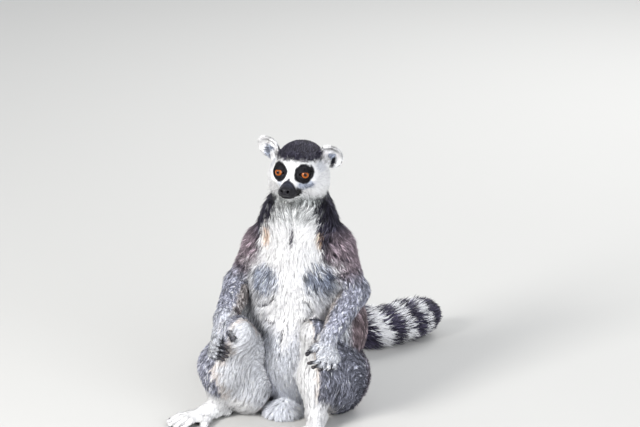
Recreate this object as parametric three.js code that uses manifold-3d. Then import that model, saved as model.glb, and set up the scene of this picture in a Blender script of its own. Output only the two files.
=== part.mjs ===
// A life-size ring-tailed lemur sitting upright in its sun-bathing pose: rump, feet and tail on the
// ground, knees drawn up and the hands hanging over them. Millimetres, +Z up, the animal faces -Y and
// its right side is -X. The origin is on the ground under the rump. Every surface is the tip of the coat.
//
// The body is a set of round cones and ellipsoids blended into one smooth field. Each named piece is
// the part of that field between its joints, closed by thin cuts.
import * as THREE from "three";
import { mergeVertices } from "three/addons/utils/BufferGeometryUtils.js";
import Module from "manifold-3d";

const wasm = await Module();
wasm.setup();

// ---- driving dimensions ----
const V = (x, y, z) => new THREE.Vector3(x, y, z);
const CUT_GAP = 0.6; // between two neighbouring pieces
const CONTACT_GAP = 1; // where a limb lies against another part
const GROUND = 0; // level of the flats under the rump, feet and tail
const BODY_BLEND = 18;
const LIMB_BLEND = 8;
const TOUCH_BLEND = 3; // where a limb only rests on another
const SHOULDER_BLEND = 20;
const SHOULDER_LEVEL = [196, 236]; // the arms melt into the chest above this height

const HEAD = V(4.5, -8, 344);
const HEAD_TURN = THREE.MathUtils.degToRad(-5); // towards its right
const HEAD_ROLL = THREE.MathUtils.degToRad(0.6); // left side lower
const EYE_RADIUS = 8.2;
const EYE = V(17.6, -30.5, 7); // in the head's frame, the left one

// Each ear is a leaf-shaped cup: from its root along its length, opening forwards. Head's frame.
const EARS = {
  right: { root: V(-35, 8, 20), tip: V(-61, 11, 42), middle: 0.46, width: 18, opening: V(-0.5, -0.8, -0.2) },
  left: { root: V(34, 8, 18), tip: V(56, 9, 31), middle: 0.34, width: 19, opening: V(0.35, -0.85, -0.3) },
};
const EAR_DEPTH = 9;
const EAR_WALL = 3.4;
const EAR_SIDES = 14;

const HIP = V(50, 6, 50);
const ARMS = {
  right: { shoulder: V(-50, 2, 231), elbow: V(-86, 12, 170), wrist: V(-85, -76, 148), thick: [22, 17] },
  left: { shoulder: V(53, 2, 236), elbow: V(79, 4, 173), wrist: V(60, -86, 132), thick: [22, 14] },
};
const LEGS = {
  right: {
    knee: V(-65, -90, 132), kneeRadius: 23, calf: V(-89, -73, 79), calfRadius: 33,
    ankle: V(-97, -66, 24), heel: V(-90, -54, 12.6), toward: V(-0.66, -0.75, 0),
    haunch: V(-64, -38, 40), haunchSize: V(36, 42, 42),
  },
  left: {
    knee: V(39, -70, 135), kneeRadius: 17, calf: V(44, -66, 70), calfRadius: 28,
    ankle: V(43, -84, 24), heel: V(42, -68, 12.6), toward: V(0.17, -0.98, 0),
    haunch: V(56, -6, 48), haunchSize: V(39, 56, 52),
  },
};
const ANKLE_RADIUS = 15;

// Digits run from the index to the little finger: first and last knuckle, and how the two lengths of
// each finger point, for the first and the last one.
const FINGER_RADIUS = 3.6;
const HANDS = {
  right: {
    knuckles: [V(-88, -113, 128), V(-95, -107, 108)],
    proximal: [V(0.45, -0.88, -0.05), V(0.5, -0.86, -0.1)],
    distal: [V(0.95, 0.02, -0.3), V(0.92, 0.1, -0.3)],
    thumb: [V(-74, -97, 146), V(-69, -112, 141), V(-64, -118, 135)],
  },
  left: {
    knuckles: [V(57, -109, 116), V(75, -104, 112)],
    proximal: [V(-0.4, -0.7, -0.6), V(0.05, -0.42, -0.9)],
    distal: [V(-0.95, -0.1, -0.15), V(-0.85, 0.05, -0.5)],
    thumb: [V(54, -94, 130), V(46, -106, 125), V(37, -111, 118)],
  },
};
const FINGER_LENGTHS = [24, 28, 28, 23]; // of both visible joints together
const DIGIT_SIDES = 8;

const TAIL_RADIUS = 30;
const TAIL_PIECES = 5;
const TAIL_LIE = 29.5; // height of its middle where it lies on the ground
const TAIL_PATH = new THREE.CatmullRomCurve3([
  V(0, 50, 42), V(-30, 92, 31), V(-76, 118, TAIL_LIE), V(-112, 160, TAIL_LIE), V(-122, 215, TAIL_LIE),
  V(-100, 266, TAIL_LIE), V(-56, 294, TAIL_LIE), V(-8, 290, TAIL_LIE), V(28, 270, TAIL_LIE),
  V(54, 272, TAIL_LIE), V(83, 298, TAIL_LIE), V(117, 339, TAIL_LIE),
]);
const TAIL_SIDES = 14;
const TAIL_RINGS = 4; // in each piece

// Mesh cells
const CELL = { trunk: 20, head: 8.8, nose: 5, arm: 11.5, palm: 8.5, thigh: 17, shin: 14, foot: 9.5 };
const DOMAIN_CELL = { nose: 6, arm: 16, leg: 21 };

// ---- fields: negative inside, in millimetres ----
const mix = (a, b, t) => a + (b - a) * t;
const clamp01 = (t) => Math.min(1, Math.max(0, t));

function smoothUnion(a, b, k) {
  const h = Math.max(k - Math.abs(a - b), 0) / k;
  return Math.min(a, b) - (h * h * k) / 4;
}

const blendAll = (fields, k) => (p) => fields.map((f) => f(p)).reduce((a, b) => smoothUnion(a, b, k));

// A limb length: a sphere of radius ra at a swept to one of radius rb at b.
function roundCone(a, b, ra, rb) {
  const axis = b.clone().sub(a);
  const l2 = axis.lengthSq();
  const drop = ra - rb;
  const a2 = l2 - drop * drop;
  return (p) => {
    const pa = p.clone().sub(a);
    const y = pa.dot(axis);
    const z = y - l2;
    const across = pa.multiplyScalar(l2).addScaledVector(axis, -y).lengthSq();
    const y2 = y * y * l2;
    const z2 = z * z * l2;
    const k = Math.sign(drop) * drop * drop * across;
    if (Math.sign(z) * a2 * z2 > k) return Math.sqrt(across + z2) / l2 - rb;
    if (Math.sign(y) * a2 * y2 < k) return Math.sqrt(across + y2) / l2 - ra;
    return (Math.sqrt((across * a2) / l2) + y * drop) / l2 - ra;
  };
}

function ellipsoid(center, rx, ry, rz, turn = new THREE.Matrix3()) {
  const back = turn.clone().transpose();
  return (p) => {
    const q = p.clone().sub(center).applyMatrix3(back);
    const k0 = Math.hypot(q.x / rx, q.y / ry, q.z / rz);
    const k1 = Math.hypot(q.x / (rx * rx), q.y / (ry * ry), q.z / (rz * rz));
    return k1 > 0 ? (k0 * (k0 - 1)) / k1 : -Math.min(rx, ry, rz);
  };
}

// ---- trunk ----
const sides = { right: -1, left: 1 };
const slopes = Object.keys(sides).map((side) => {
  const { x, y, z } = ARMS[side].shoulder;
  return roundCone(V(sides[side] * 15, 6, 274), V(x * 0.92, y + 2, z - 4), 30, 28);
});
const trunk = blendAll(
  [
    ellipsoid(V(0, 20, 56), 78, 60, 66), // rump
    ellipsoid(V(2, -10, 94), 54, 64, 70), // belly
    ellipsoid(V(3, 20, 116), 93, 60, 88), // flanks and back
    ellipsoid(V(0, -4, 152), 62, 46, 42), // loose skin of the waist
    ellipsoid(V(0, 6, 190), 72, 60, 62), // rib cage
    roundCone(V(0, 0, 238), V(3, -3, 316), 48, 36), // breast, throat and ruff
    roundCone(V(0, 18, 232), V(2, 14, 306), 46, 34), // nape
    ...slopes, // from the nape to the shoulders
  ],
  BODY_BLEND,
);

// ---- head, in its own frame: +Z up, face towards -Y ----
const headTurn = new THREE.Matrix4()
  .makeRotationZ(HEAD_TURN)
  .multiply(new THREE.Matrix4().makeRotationY(HEAD_ROLL));
const headTurn3 = new THREE.Matrix3().setFromMatrix4(headTurn);
const headTurnBack3 = headTurn3.clone().transpose();
const inHead = (x, y, z) => V(x, y, z).applyMatrix3(headTurn3).add(HEAD);
const toHead = (p) => p.clone().sub(HEAD).applyMatrix3(headTurnBack3);

const cranium = ellipsoid(V(0, 8, 9), 37, 41, 35);
const brow = ellipsoid(V(0, -19, 9), 31, 21, 25);
const jaw = roundCone(V(0, -14, -20), V(0, -50, -25.5), 17, 6.5);
const muzzle = roundCone(V(0, -26, -7), V(0, -54, -14), 19, 11.5);
const cheeks = Object.values(sides).map((s) => ellipsoid(V(s * 22, -3, -8), 23, 29, 30));
const headShape = blendAll([cranium, brow, jaw, muzzle, ...cheeks], 10);
const head = (p) => headShape(toHead(p));
const noseShape = ellipsoid(V(0, -60.5, -11), 11.5, 8, 9);
const nose = (p) => noseShape(toHead(p));

// ---- limbs ----
function armField(side) {
  const { shoulder, elbow, wrist, thick } = ARMS[side];
  const [first, last] = HANDS[side].knuckles;
  return blendAll(
    [
      roundCone(shoulder, elbow, 28, thick[0] - 2),
      roundCone(elbow, wrist, thick[0], thick[1]),
      roundCone(wrist, first.clone().lerp(last, 0.5), thick[1] - 2, 9),
      roundCone(first, last, 6, 6),
    ],
    LIMB_BLEND,
  );
}

const SOLE_LENGTH = 52;
const footLine = (side) => LEGS[side].toward.clone().normalize();
const footInner = (side) => V(-footLine(side).y, footLine(side).x, 0).multiplyScalar(-sides[side]);
const footBall = (side) => LEGS[side].heel.clone().addScaledVector(footLine(side), SOLE_LENGTH).setZ(8);

function legField(side) {
  const { knee, kneeRadius, calf, calfRadius, ankle, heel, haunch, haunchSize } = LEGS[side];
  const hip = V(sides[side] * HIP.x, HIP.y, HIP.z);
  const leg = blendAll(
    [
      roundCone(hip, knee, 49, kneeRadius),
      roundCone(knee, calf, kneeRadius, calfRadius),
      roundCone(calf, ankle, calfRadius, ANKLE_RADIUS),
      ellipsoid(haunch, haunchSize.x, haunchSize.y, haunchSize.z),
    ],
    LIMB_BLEND * 1.5,
  );
  const ball = footBall(side);
  const foot = blendAll(
    [roundCone(ankle, heel, 13, 13.4), roundCone(ankle, ball, 12, 9), roundCone(heel, ball, 13.4, 9)],
    LIMB_BLEND / 2,
  );
  return (p) => smoothUnion(leg(p), foot(p), LIMB_BLEND);
}

// ---- tail ----
const tailPoint = (t) => TAIL_PATH.getPointAt(clamp01(t));
// The tail swells over its first fifth and narrows at its tip.
const tailRadius = (t) =>
  TAIL_RADIUS * mix(0.86, 1, clamp01(t * 5)) * mix(1, 0.9, clamp01((t - 0.93) / 0.07));
// The white tuft of fur between the thighs.
const groin = ellipsoid(V(-14, -46, 12), 27, 26, 24);

// ---- the groups of pieces, and the whole animal ----
const groups = {
  trunk: (p) => smoothUnion(smoothUnion(trunk(p), head(p), 12), groin(p), 9),
  nose,
  armRight: armField("right"),
  armLeft: armField("left"),
  legRight: legField("right"),
  legLeft: legField("left"),
};
const groupNames = Object.keys(groups);

function wholeField(p) {
  const rise = clamp01((p.z - SHOULDER_LEVEL[0]) / (SHOULDER_LEVEL[1] - SHOULDER_LEVEL[0]));
  const armBlend = mix(TOUCH_BLEND, SHOULDER_BLEND, rise);
  let d = groups.trunk(p);
  d = smoothUnion(d, smoothUnion(groups.legRight(p), groups.legLeft(p), TOUCH_BLEND), 9);
  d = smoothUnion(d, groups.armRight(p), armBlend);
  d = smoothUnion(d, groups.armLeft(p), armBlend);
  return smoothUnion(d, groups.nose(p), 2);
}

// Negative where this group is nearer than every other one.
const domainField = (own) => (p) => {
  const others = groupNames.filter((name) => name !== own).map((name) => groups[name](p));
  return groups[own](p) - Math.min(...others);
};

// ---- a field's surface as a solid: one vertex for each cell that it crosses ----
const CORNERS = Array.from({ length: 8 }, (_, i) => [i & 1, (i >> 1) & 1, (i >> 2) & 1]);
const EDGES = CORNERS.flatMap((_, a) => [1, 2, 4].filter((bit) => !(a & bit)).map((bit) => [a, a | bit]));

function surface(field, box, cell) {
  const low = box.min;
  const count = box.getSize(V(0, 0, 0)).divideScalar(cell).ceil().addScalar(1);
  const [nx, ny, nz] = [count.x, count.y, count.z];
  const at = (i, j, k) => i + nx * (j + ny * k);
  const place = (i, j, k) => V(low.x + i * cell, low.y + j * cell, low.z + k * cell);
  const value = new Float64Array(nx * ny * nz);
  for (let k = 0; k < nz; k++)
    for (let j = 0; j < ny; j++)
      for (let i = 0; i < nx; i++) {
        const rim = i === 0 || j === 0 || k === 0 || i === nx - 1 || j === ny - 1 || k === nz - 1;
        const d = field(place(i, j, k));
        value[at(i, j, k)] = rim ? Math.max(d, cell * 0.5) : d;
      }
  const positions = [];
  const vertexOf = new Int32Array(nx * ny * nz).fill(-1);
  for (let k = 0; k < nz - 1; k++)
    for (let j = 0; j < ny - 1; j++)
      for (let i = 0; i < nx - 1; i++) {
        const corner = CORNERS.map(([a, b, c]) => value[at(i + a, j + b, k + c)]);
        const sum = V(0, 0, 0);
        let crossings = 0;
        for (const [a, b] of EDGES) {
          if (corner[a] < 0 === corner[b] < 0) continue;
          const t = corner[a] / (corner[a] - corner[b]);
          sum.add(V(...CORNERS[a]).lerp(V(...CORNERS[b]), t));
          crossings++;
        }
        if (!crossings) continue;
        vertexOf[at(i, j, k)] = positions.length / 3;
        const p = sum.divideScalar(crossings).multiplyScalar(cell).add(place(i, j, k));
        positions.push(p.x, p.y, p.z);
      }
  const triangles = [];
  const point = (v) => V(positions[3 * v], positions[3 * v + 1], positions[3 * v + 2]);
  const quad = (a, b, c, d, flip) => {
    const ring = flip ? [a, b, c, d] : [d, c, b, a];
    const [p, q, r, s] = ring.map(point);
    const first = p.distanceTo(r) <= q.distanceTo(s) ? 0 : 1;
    const v = (n) => ring[(first + n) % 4];
    triangles.push(v(0), v(1), v(2), v(0), v(2), v(3));
  };
  for (let k = 0; k < nz - 1; k++)
    for (let j = 0; j < ny - 1; j++)
      for (let i = 0; i < nx - 1; i++) {
        const inside = value[at(i, j, k)] < 0;
        const v = (di, dj, dk) => vertexOf[at(i - di, j - dj, k - dk)];
        if (j && k && inside !== value[at(i + 1, j, k)] < 0)
          quad(v(0, 0, 0), v(0, 1, 0), v(0, 1, 1), v(0, 0, 1), inside);
        if (i && k && inside !== value[at(i, j + 1, k)] < 0)
          quad(v(0, 0, 0), v(0, 0, 1), v(1, 0, 1), v(1, 0, 0), inside);
        if (i && j && inside !== value[at(i, j, k + 1)] < 0)
          quad(v(0, 0, 0), v(1, 0, 0), v(1, 1, 0), v(0, 1, 0), inside);
      }
  const geometry = new THREE.BufferGeometry();
  geometry.setAttribute("position", new THREE.Float32BufferAttribute(positions, 3));
  geometry.setIndex(triangles);
  return geometry;
}

// ---- solids and three.js geometries ----
const MERGE = 2e-3; // vertices closer than this become one
const solidFrom = (positions, triangles) =>
  new wasm.Manifold(
    new wasm.Mesh({
      numProp: 3,
      vertProperties: new Float32Array(positions),
      triVerts: new Uint32Array(triangles),
    }),
  );
const solidOfSurface = (g) => solidFrom(g.attributes.position.array, g.index.array);

function solidOf(geometry) {
  const bare = geometry.clone();
  bare.deleteAttribute("normal");
  bare.deleteAttribute("uv");
  return solidOfSurface(mergeVertices(bare, MERGE));
}

function geometryOf(solid) {
  const mesh = solid.getMesh();
  const geometry = new THREE.BufferGeometry();
  geometry.setAttribute("position", new THREE.BufferAttribute(new Float32Array(mesh.vertProperties), 3));
  geometry.setIndex(new THREE.BufferAttribute(new Uint32Array(mesh.triVerts), 1));
  const flat = geometry.toNonIndexed();
  flat.computeVertexNormals();
  return flat;
}

// The same surface pushed outwards along its normals, or inwards for a negative distance.
function grownSurface(geometry, distance) {
  const grown = geometry.clone();
  grown.computeVertexNormals();
  const { position, normal } = grown.attributes;
  for (let i = 0; i < position.count; i++) {
    const moved = V(0, 0, 0).fromBufferAttribute(position, i);
    moved.addScaledVector(V(0, 0, 0).fromBufferAttribute(normal, i), distance);
    position.setXYZ(i, moved.x, moved.y, moved.z);
  }
  return grown;
}

const REACH = 800; // half-space boxes are larger than the animal
// Everything on the side of the plane that the normal points to, half the cut away from it.
function halfSpace({ point, normal }, side, gap = CUT_GAP) {
  const block = new THREE.BoxGeometry(REACH, REACH, REACH);
  block.translate(0, 0, (REACH + gap) / 2);
  const facing = normal.clone().normalize().multiplyScalar(side);
  block.applyQuaternion(new THREE.Quaternion().setFromUnitVectors(V(0, 0, 1), facing));
  block.translate(point.x, point.y, point.z);
  return solidOf(block);
}
const BEYOND = 1;
const BEFORE = -1;
const aboveGround = halfSpace({ point: V(0, 0, GROUND), normal: V(0, 0, 1) }, BEYOND, 0);

// Where two sheets of a surface touch at a point, each one draws back into its own body.
const DRAW_BACK = 0.08;
function partedSheets(solid) {
  const mesh = solid.getMesh();
  const geometry = new THREE.BufferGeometry();
  geometry.setAttribute("position", new THREE.BufferAttribute(new Float32Array(mesh.vertProperties), 3));
  geometry.setIndex(new THREE.BufferAttribute(new Uint32Array(mesh.triVerts), 1));
  const back = grownSurface(geometry, -DRAW_BACK).attributes.position;
  const { position } = geometry.attributes;
  const seen = new Map();
  for (let i = 0; i < position.count; i++) {
    const key = V(0, 0, 0).fromBufferAttribute(position, i).divideScalar(MERGE).round().toArray().join();
    seen.set(key, [...(seen.get(key) ?? []), i]);
  }
  for (const same of seen.values())
    if (same.length > 1) for (const i of same) position.setXYZ(i, back.getX(i), back.getY(i), back.getZ(i));
  return solidOfSurface(geometry);
}

const largest = (solid) => solid.decompose().reduce((a, b) => (a.volume() > b.volume() ? a : b));
// The one body that is left once the slivers of the cuts have gone.
const cleanBody = (solid) => partedSheets(largest(lighter(largest(solidOf(geometryOf(largest(solid)))))));

// ---- lighter meshes: a vertex joins its neighbour wherever the surface stays where it was ----
const STRAY = 0.26; // furthest that the surface may move
const TURNED = 0.2; // cosine of the largest turn of a face
function lighter(solid) {
  const mesh = solid.getMesh();
  const points = Array.from({ length: mesh.vertProperties.length / 3 }, (_, i) =>
    V(...mesh.vertProperties.slice(3 * i, 3 * i + 3)));
  const faces = Array.from({ length: mesh.triVerts.length / 3 }, (_, i) =>
    [...mesh.triVerts.slice(3 * i, 3 * i + 3)]);
  const around = points.map(() => new Set());
  faces.forEach((face, f) => face.forEach((v) => around[v].add(f)));
  const planeOf = (a, b, c) => new THREE.Plane().setFromCoplanarPoints(a, b, c);
  const held = points.map((_, v) => [...around[v]].map((f) => planeOf(...faces[f].map((w) => points[w]))));
  const neighbours = (v) => new Set([...around[v]].flatMap((f) => faces[f]).filter((w) => w !== v));
  const cost = (v, u) =>
    Math.sqrt(held[v].reduce((sum, plane) => sum + plane.distanceToPoint(points[u]) ** 2, 0));
  const canJoin = (v, u) => {
    const shared = [...neighbours(v)].filter((w) => neighbours(u).has(w));
    if (shared.length !== 2) return false;
    return [...around[v]].every((f) => {
      if (faces[f].includes(u)) return true;
      const before = planeOf(...faces[f].map((w) => points[w]));
      const moved = faces[f].map((w) => points[w === v ? u : w]);
      const size = moved[1].clone().sub(moved[0]).cross(moved[2].clone().sub(moved[0])).length();
      return size > 1e-3 && planeOf(...moved).normal.dot(before.normal) > TURNED;
    });
  };
  const join = (v, u) => {
    for (const f of [...around[v]]) {
      if (faces[f].includes(u)) {
        for (const w of faces[f]) around[w].delete(f);
        faces[f] = null;
      } else {
        faces[f] = faces[f].map((w) => (w === v ? u : w));
        around[u].add(f);
      }
    }
    around[v].clear();
    held[u].push(...held[v]);
  };
  for (let joined = 1; joined; ) {
    joined = 0;
    const moves = points.flatMap((_, v) => [...neighbours(v)].map((u) => [cost(v, u), v, u]));
    const touched = new Set();
    for (const [, v, u] of moves.filter(([c]) => c < STRAY).sort((a, b) => a[0] - b[0])) {
      if (touched.has(v) || touched.has(u) || !canJoin(v, u)) continue;
      for (const w of [...neighbours(v), ...neighbours(u)]) touched.add(w);
      join(v, u);
      joined++;
    }
  }
  const kept = faces.filter(Boolean).flat();
  return solidFrom(points.flatMap((p) => p.toArray()), kept);
}

// ---- lofts: a round section carried through points, with a blunt round end at each end ----
const BLUNT = 0.75; // how far an end stands out, of its radius
function loft(points, radii, sectionSides, grow = 0) {
  const last = points.length - 1;
  const positions = [];
  const triangles = [];
  let across = null;
  points.forEach((p, i) => {
    const way = points[Math.min(i + 1, last)].clone().sub(points[Math.max(i - 1, 0)]).normalize();
    const seed = across ?? V(-way.y, way.x + 1e-3, 0.1);
    across = seed.clone().addScaledVector(way, -seed.dot(way)).normalize();
    const up = new THREE.Vector3().crossVectors(way, across);
    for (let k = 0; k < sectionSides; k++) {
      const angle = (2 * Math.PI * k) / sectionSides;
      const v = across.clone().multiplyScalar(Math.cos(angle)).addScaledVector(up, Math.sin(angle));
      v.multiplyScalar(radii[i] + grow).add(p);
      positions.push(v.x, v.y, v.z);
    }
  });
  const ring = (i, k) => i * sectionSides + (k % sectionSides);
  for (let i = 0; i < last; i++)
    for (let k = 0; k < sectionSides; k++) {
      triangles.push(ring(i, k), ring(i, k + 1), ring(i + 1, k + 1));
      triangles.push(ring(i, k), ring(i + 1, k + 1), ring(i + 1, k));
    }
  for (const [end, inner] of [[0, 1], [last, last - 1]]) {
    const apex = points[end].clone().sub(points[inner]).setLength(BLUNT * (radii[end] + grow));
    apex.add(points[end]);
    positions.push(apex.x, apex.y, apex.z);
    const tip = positions.length / 3 - 1;
    for (let k = 0; k < sectionSides; k++)
      triangles.push(...(end ? [ring(end, k), ring(end, k + 1)] : [ring(end, k + 1), ring(end, k)]), tip);
  }
  return solidFrom(positions, triangles);
}
const digit = ([points, radii], grow = 0) => loft(points, radii, DIGIT_SIDES, grow);

function fingers(side) {
  const { knuckles, proximal, distal, thumb } = HANDS[side];
  const r = FINGER_RADIUS;
  const four = FINGER_LENGTHS.map((length, i) => {
    const t = i / (FINGER_LENGTHS.length - 1);
    const knuckle = knuckles[0].clone().lerp(knuckles[1], t);
    const bend = proximal[0].clone().lerp(proximal[1], t).setLength(length * 0.45).add(knuckle);
    const tip = distal[0].clone().lerp(distal[1], t).setLength(length * 0.5).add(bend);
    return [[knuckle, bend, tip], [r + 0.8, r + 0.2, r]];
  });
  return [...four, [thumb, [r + 2.4, r + 0.6, r + 0.3]]];
}

const TOE_RADIUS = 4.4;
const TOE_LENGTHS = [30, 36, 37, 32]; // second to fifth toe
const TOE_FAN = [0.16, 0.05, -0.07, -0.2]; // radians from the foot's line
const TOE_SPACING = 6.5;
function toes(side) {
  const line = footLine(side);
  const inner = footInner(side);
  const ball = footBall(side);
  const long = TOE_LENGTHS.map((length, i) => {
    const root = ball.clone().addScaledVector(inner, (1.4 - i) * TOE_SPACING);
    const way = line.clone().addScaledVector(inner, TOE_FAN[i]).setLength(length);
    return [[root, root.clone().add(way).setZ(TOE_RADIUS - 0.8)], [TOE_RADIUS + 1, TOE_RADIUS - 0.3]];
  });
  const bigRoot = LEGS[side].heel.clone().addScaledVector(line, SOLE_LENGTH * 0.62);
  bigRoot.addScaledVector(inner, 6).setZ(8);
  const bigTip = bigRoot.clone().addScaledVector(inner, 19).addScaledVector(line, 22).setZ(4.6);
  return [...long, [[bigRoot, bigTip], [7.5, 5.4]]];
}

// An ear is an oval cup on a short stem.
const CUP_TURN = [0.1, 0.3, 0.5]; // half turns from the middle of the cup's back to its rim
function earSolid({ root, tip, middle, width, opening: faces }) {
  const along = tip.clone().sub(root);
  const reach = along.length();
  along.normalize();
  const across = new THREE.Vector3().crossVectors(faces, along).normalize();
  const opening = new THREE.Vector3().crossVectors(along, across);
  const half = reach * (1 - middle);
  const inner = 1 - EAR_WALL / width;
  const arc = (r, depth) =>
    CUP_TURN.map((turn) => [r * Math.sin(turn * Math.PI), -depth * Math.cos(turn * Math.PI)]);
  const profile = [[0, -EAR_DEPTH], ...arc(1, EAR_DEPTH), ...arc(inner, EAR_DEPTH - EAR_WALL).reverse()];
  profile.push([0, EAR_WALL - EAR_DEPTH]);
  const cup = new THREE.LatheGeometry(profile.map(([x, y]) => new THREE.Vector2(x, y)), EAR_SIDES);
  cup.scale(width, 1, half);
  const center = root.clone().addScaledVector(along, reach * middle);
  cup.applyMatrix4(new THREE.Matrix4().makeBasis(across, opening, along).setPosition(center));
  const stemEnd = root.clone().lerp(center, 0.5).addScaledVector(opening, -EAR_DEPTH * 0.8);
  const stem = loft([root.clone().addScaledVector(along, -6), stemEnd], [12, 7], DIGIT_SIDES);
  const placed = new THREE.Matrix4().makeTranslation(HEAD).multiply(headTurn);
  return solidOf(cup).add(stem).transform(placed.toArray());
}

// ---- joints between the pieces of one group: a plane at a point, facing the farther piece ----
const between = (a, joint, b) => ({
  point: joint,
  normal: joint.clone().sub(a).normalize().add(b.clone().sub(joint).normalize()),
});
const planes = {
  waist: { point: V(0, 0, 96), normal: V(0, 0, 1) },
  midriff: { point: V(0, 0, 172), normal: V(0, 0, 1) },
  neckBase: { point: V(0, 0, 262), normal: V(0, 0, 1) },
  throat: { point: V(0, 0, 306), normal: V(0, -0.3, 0.95) },
};
for (const side of ["right", "left"]) {
  const { shoulder, elbow, wrist } = ARMS[side];
  const { knee, calf, ankle, toward } = LEGS[side];
  const hip = V(sides[side] * HIP.x, HIP.y, HIP.z);
  const middle = HANDS[side].knuckles[0].clone().lerp(HANDS[side].knuckles[1], 0.5);
  planes[`elbow_${side}`] = between(shoulder, elbow, wrist);
  planes[`wrist_${side}`] = between(elbow, wrist, middle);
  planes[`knee_${side}`] = between(hip, knee, calf);
  planes[`ankle_${side}`] = between(calf, ankle, ankle.clone().add(toward));
}

// ---- pieces: the group, the joint planes it lies beyond or before, cell size, colour and where it is ----
const COLOUR = {
  grey: 0x9a989c, brown: 0x857a76, white: 0xe8e6e2, charcoal: 0x4a474c, black: 0x17161a, amber: 0xc8691c,
};
const block = (x0, y0, z0, x1, y1, z1) => new THREE.Box3(V(x0, y0, z0), V(x1, y1, z1));
const piece = (name, group, cell, colour, within, beyond = [], before = []) =>
  ({ name, group, cell, colour, within, beyond, before });
const HEAD_BLOCK = block(-64, -88, 270, 70, 66, 406);
const BELLY_BLOCK = block(-130, -110, 60, 130, 110, 210);
const NECK_BLOCK = block(-100, -90, 235, 100, 90, 350);
const CHEST_BLOCK = block(-120, -100, 140, 120, 110, 300);
const pieces = [
  piece("nose", "nose", CELL.nose, COLOUR.black, block(-22, -95, 305, 22, -45, 355)),
  piece("head", "trunk", CELL.head, COLOUR.white, HEAD_BLOCK, ["throat"]),
  piece("neck", "trunk", CELL.trunk, COLOUR.charcoal, NECK_BLOCK, ["neckBase"], ["throat"]),
  piece("chest", "trunk", CELL.trunk, COLOUR.white, CHEST_BLOCK, ["midriff"], ["neckBase"]),
  piece("belly", "trunk", CELL.trunk, COLOUR.white, BELLY_BLOCK, ["waist"], ["midriff"]),
  piece("rump", "trunk", CELL.trunk, COLOUR.brown, block(-130, -110, -34, 130, 110, 130), [], ["waist"]),
];
for (const side of ["right", "left"]) {
  const out = sides[side];
  const arm = side === "right" ? "armRight" : "armLeft";
  const leg = side === "right" ? "legRight" : "legLeft";
  const span = (near, far, y0, z0, y1, z1) =>
    block(Math.min(out * near, out * far), y0, z0, Math.max(out * near, out * far), y1, z1);
  const [elbow, wrist, knee, ankle] = ["elbow", "wrist", "knee", "ankle"].map((joint) => `${joint}_${side}`);
  pieces.push(
    piece(`upper_arm_${side}`, arm, CELL.arm, COLOUR.brown, span(10, 140, -60, 120, 80, 300), [], [elbow]),
    piece(`forearm_${side}`, arm, CELL.arm, COLOUR.grey, span(20, 140, -125, 90, 70, 225), [elbow], [wrist]),
    piece(`hand_${side}`, arm, CELL.palm, COLOUR.black, span(15, 130, -155, 60, -50, 175), [wrist]),
    piece(`thigh_${side}`, leg, CELL.thigh, COLOUR.grey, span(-20, 145, -145, -30, 100, 200), [], [knee]),
    piece(`shin_${side}`, leg, CELL.shin, COLOUR.grey, span(-15, 150, -150, -24, 30, 190), [knee], [ankle]),
    piece(`foot_${side}`, leg, CELL.foot, COLOUR.white, span(-10, 195, -195, -16, 0, 70), [ankle]),
  );
}

// ---- build ----
const EYE_SIDES = 12;
const eyeBall = (side, grow) => {
  const ball = new THREE.SphereGeometry(EYE_RADIUS + grow, EYE_SIDES, EYE_SIDES - 4);
  const at = inHead(sides[side] * EYE.x, EYE.y, EYE.z);
  ball.translate(at.x, at.y, at.z);
  return ball;
};

// What each group takes out of the whole, and the same grown by the cut. The groups that come first
// take their share first, and the trunk keeps the rest.
const cutters = {};
for (const group of groupNames.filter((name) => name !== "trunk")) {
  const within = new THREE.Box3();
  for (const p of pieces.filter((p) => p.group === group)) within.union(p.within);
  const cell = DOMAIN_CELL[group.replace(/Right|Left/, "")];
  const shape = surface(domainField(group), within.expandByScalar(cell * 1.5), cell);
  const grown = solidOfSurface(grownSurface(shape, CONTACT_GAP));
  cutters[group] = { solid: solidOfSurface(shape), grown, within };
}
const digitsOf = {
  hand_right: fingers("right"), hand_left: fingers("left"),
  foot_right: toes("right"), foot_left: toes("left"),
};
const CUT_ORDER = ["nose", "armRight", "armLeft", "legRight", "legLeft", "trunk"];

function tailSolid(from, to, grow = 0) {
  const at = Array.from({ length: TAIL_RINGS + 1 }, (_, k) => mix(from, to, k / TAIL_RINGS));
  return loft(at.map(tailPoint), at.map(tailRadius), TAIL_SIDES, grow);
}

function buildPiece({ name, group, beyond, before, cell, within }) {
  let solid = solidOfSurface(surface(wholeField, within, cell));
  if (group !== "trunk") solid = solid.intersect(cutters[group].solid);
  for (const d of digitsOf[name] ?? []) solid = solid.add(digit(d));
  for (const plane of beyond) solid = solid.intersect(halfSpace(planes[plane], BEYOND));
  for (const plane of before) solid = solid.intersect(halfSpace(planes[plane], BEFORE));
  for (const earlier of CUT_ORDER.slice(0, CUT_ORDER.indexOf(group)))
    if (cutters[earlier].within.intersectsBox(within)) solid = solid.subtract(cutters[earlier].grown);
  if (!group.startsWith("arm"))
    for (const hand of ["hand_right", "hand_left"])
      for (const d of digitsOf[hand]) solid = solid.subtract(digit(d, CUT_GAP));
  if (name === "head")
    for (const side of Object.keys(sides)) solid = solid.subtract(solidOf(eyeBall(side, CUT_GAP)));
  if (name === "rump") solid = solid.subtract(tailSolid(0, 1 / TAIL_PIECES, CUT_GAP));
  return cleanBody(solid.intersect(aboveGround));
}

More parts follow.
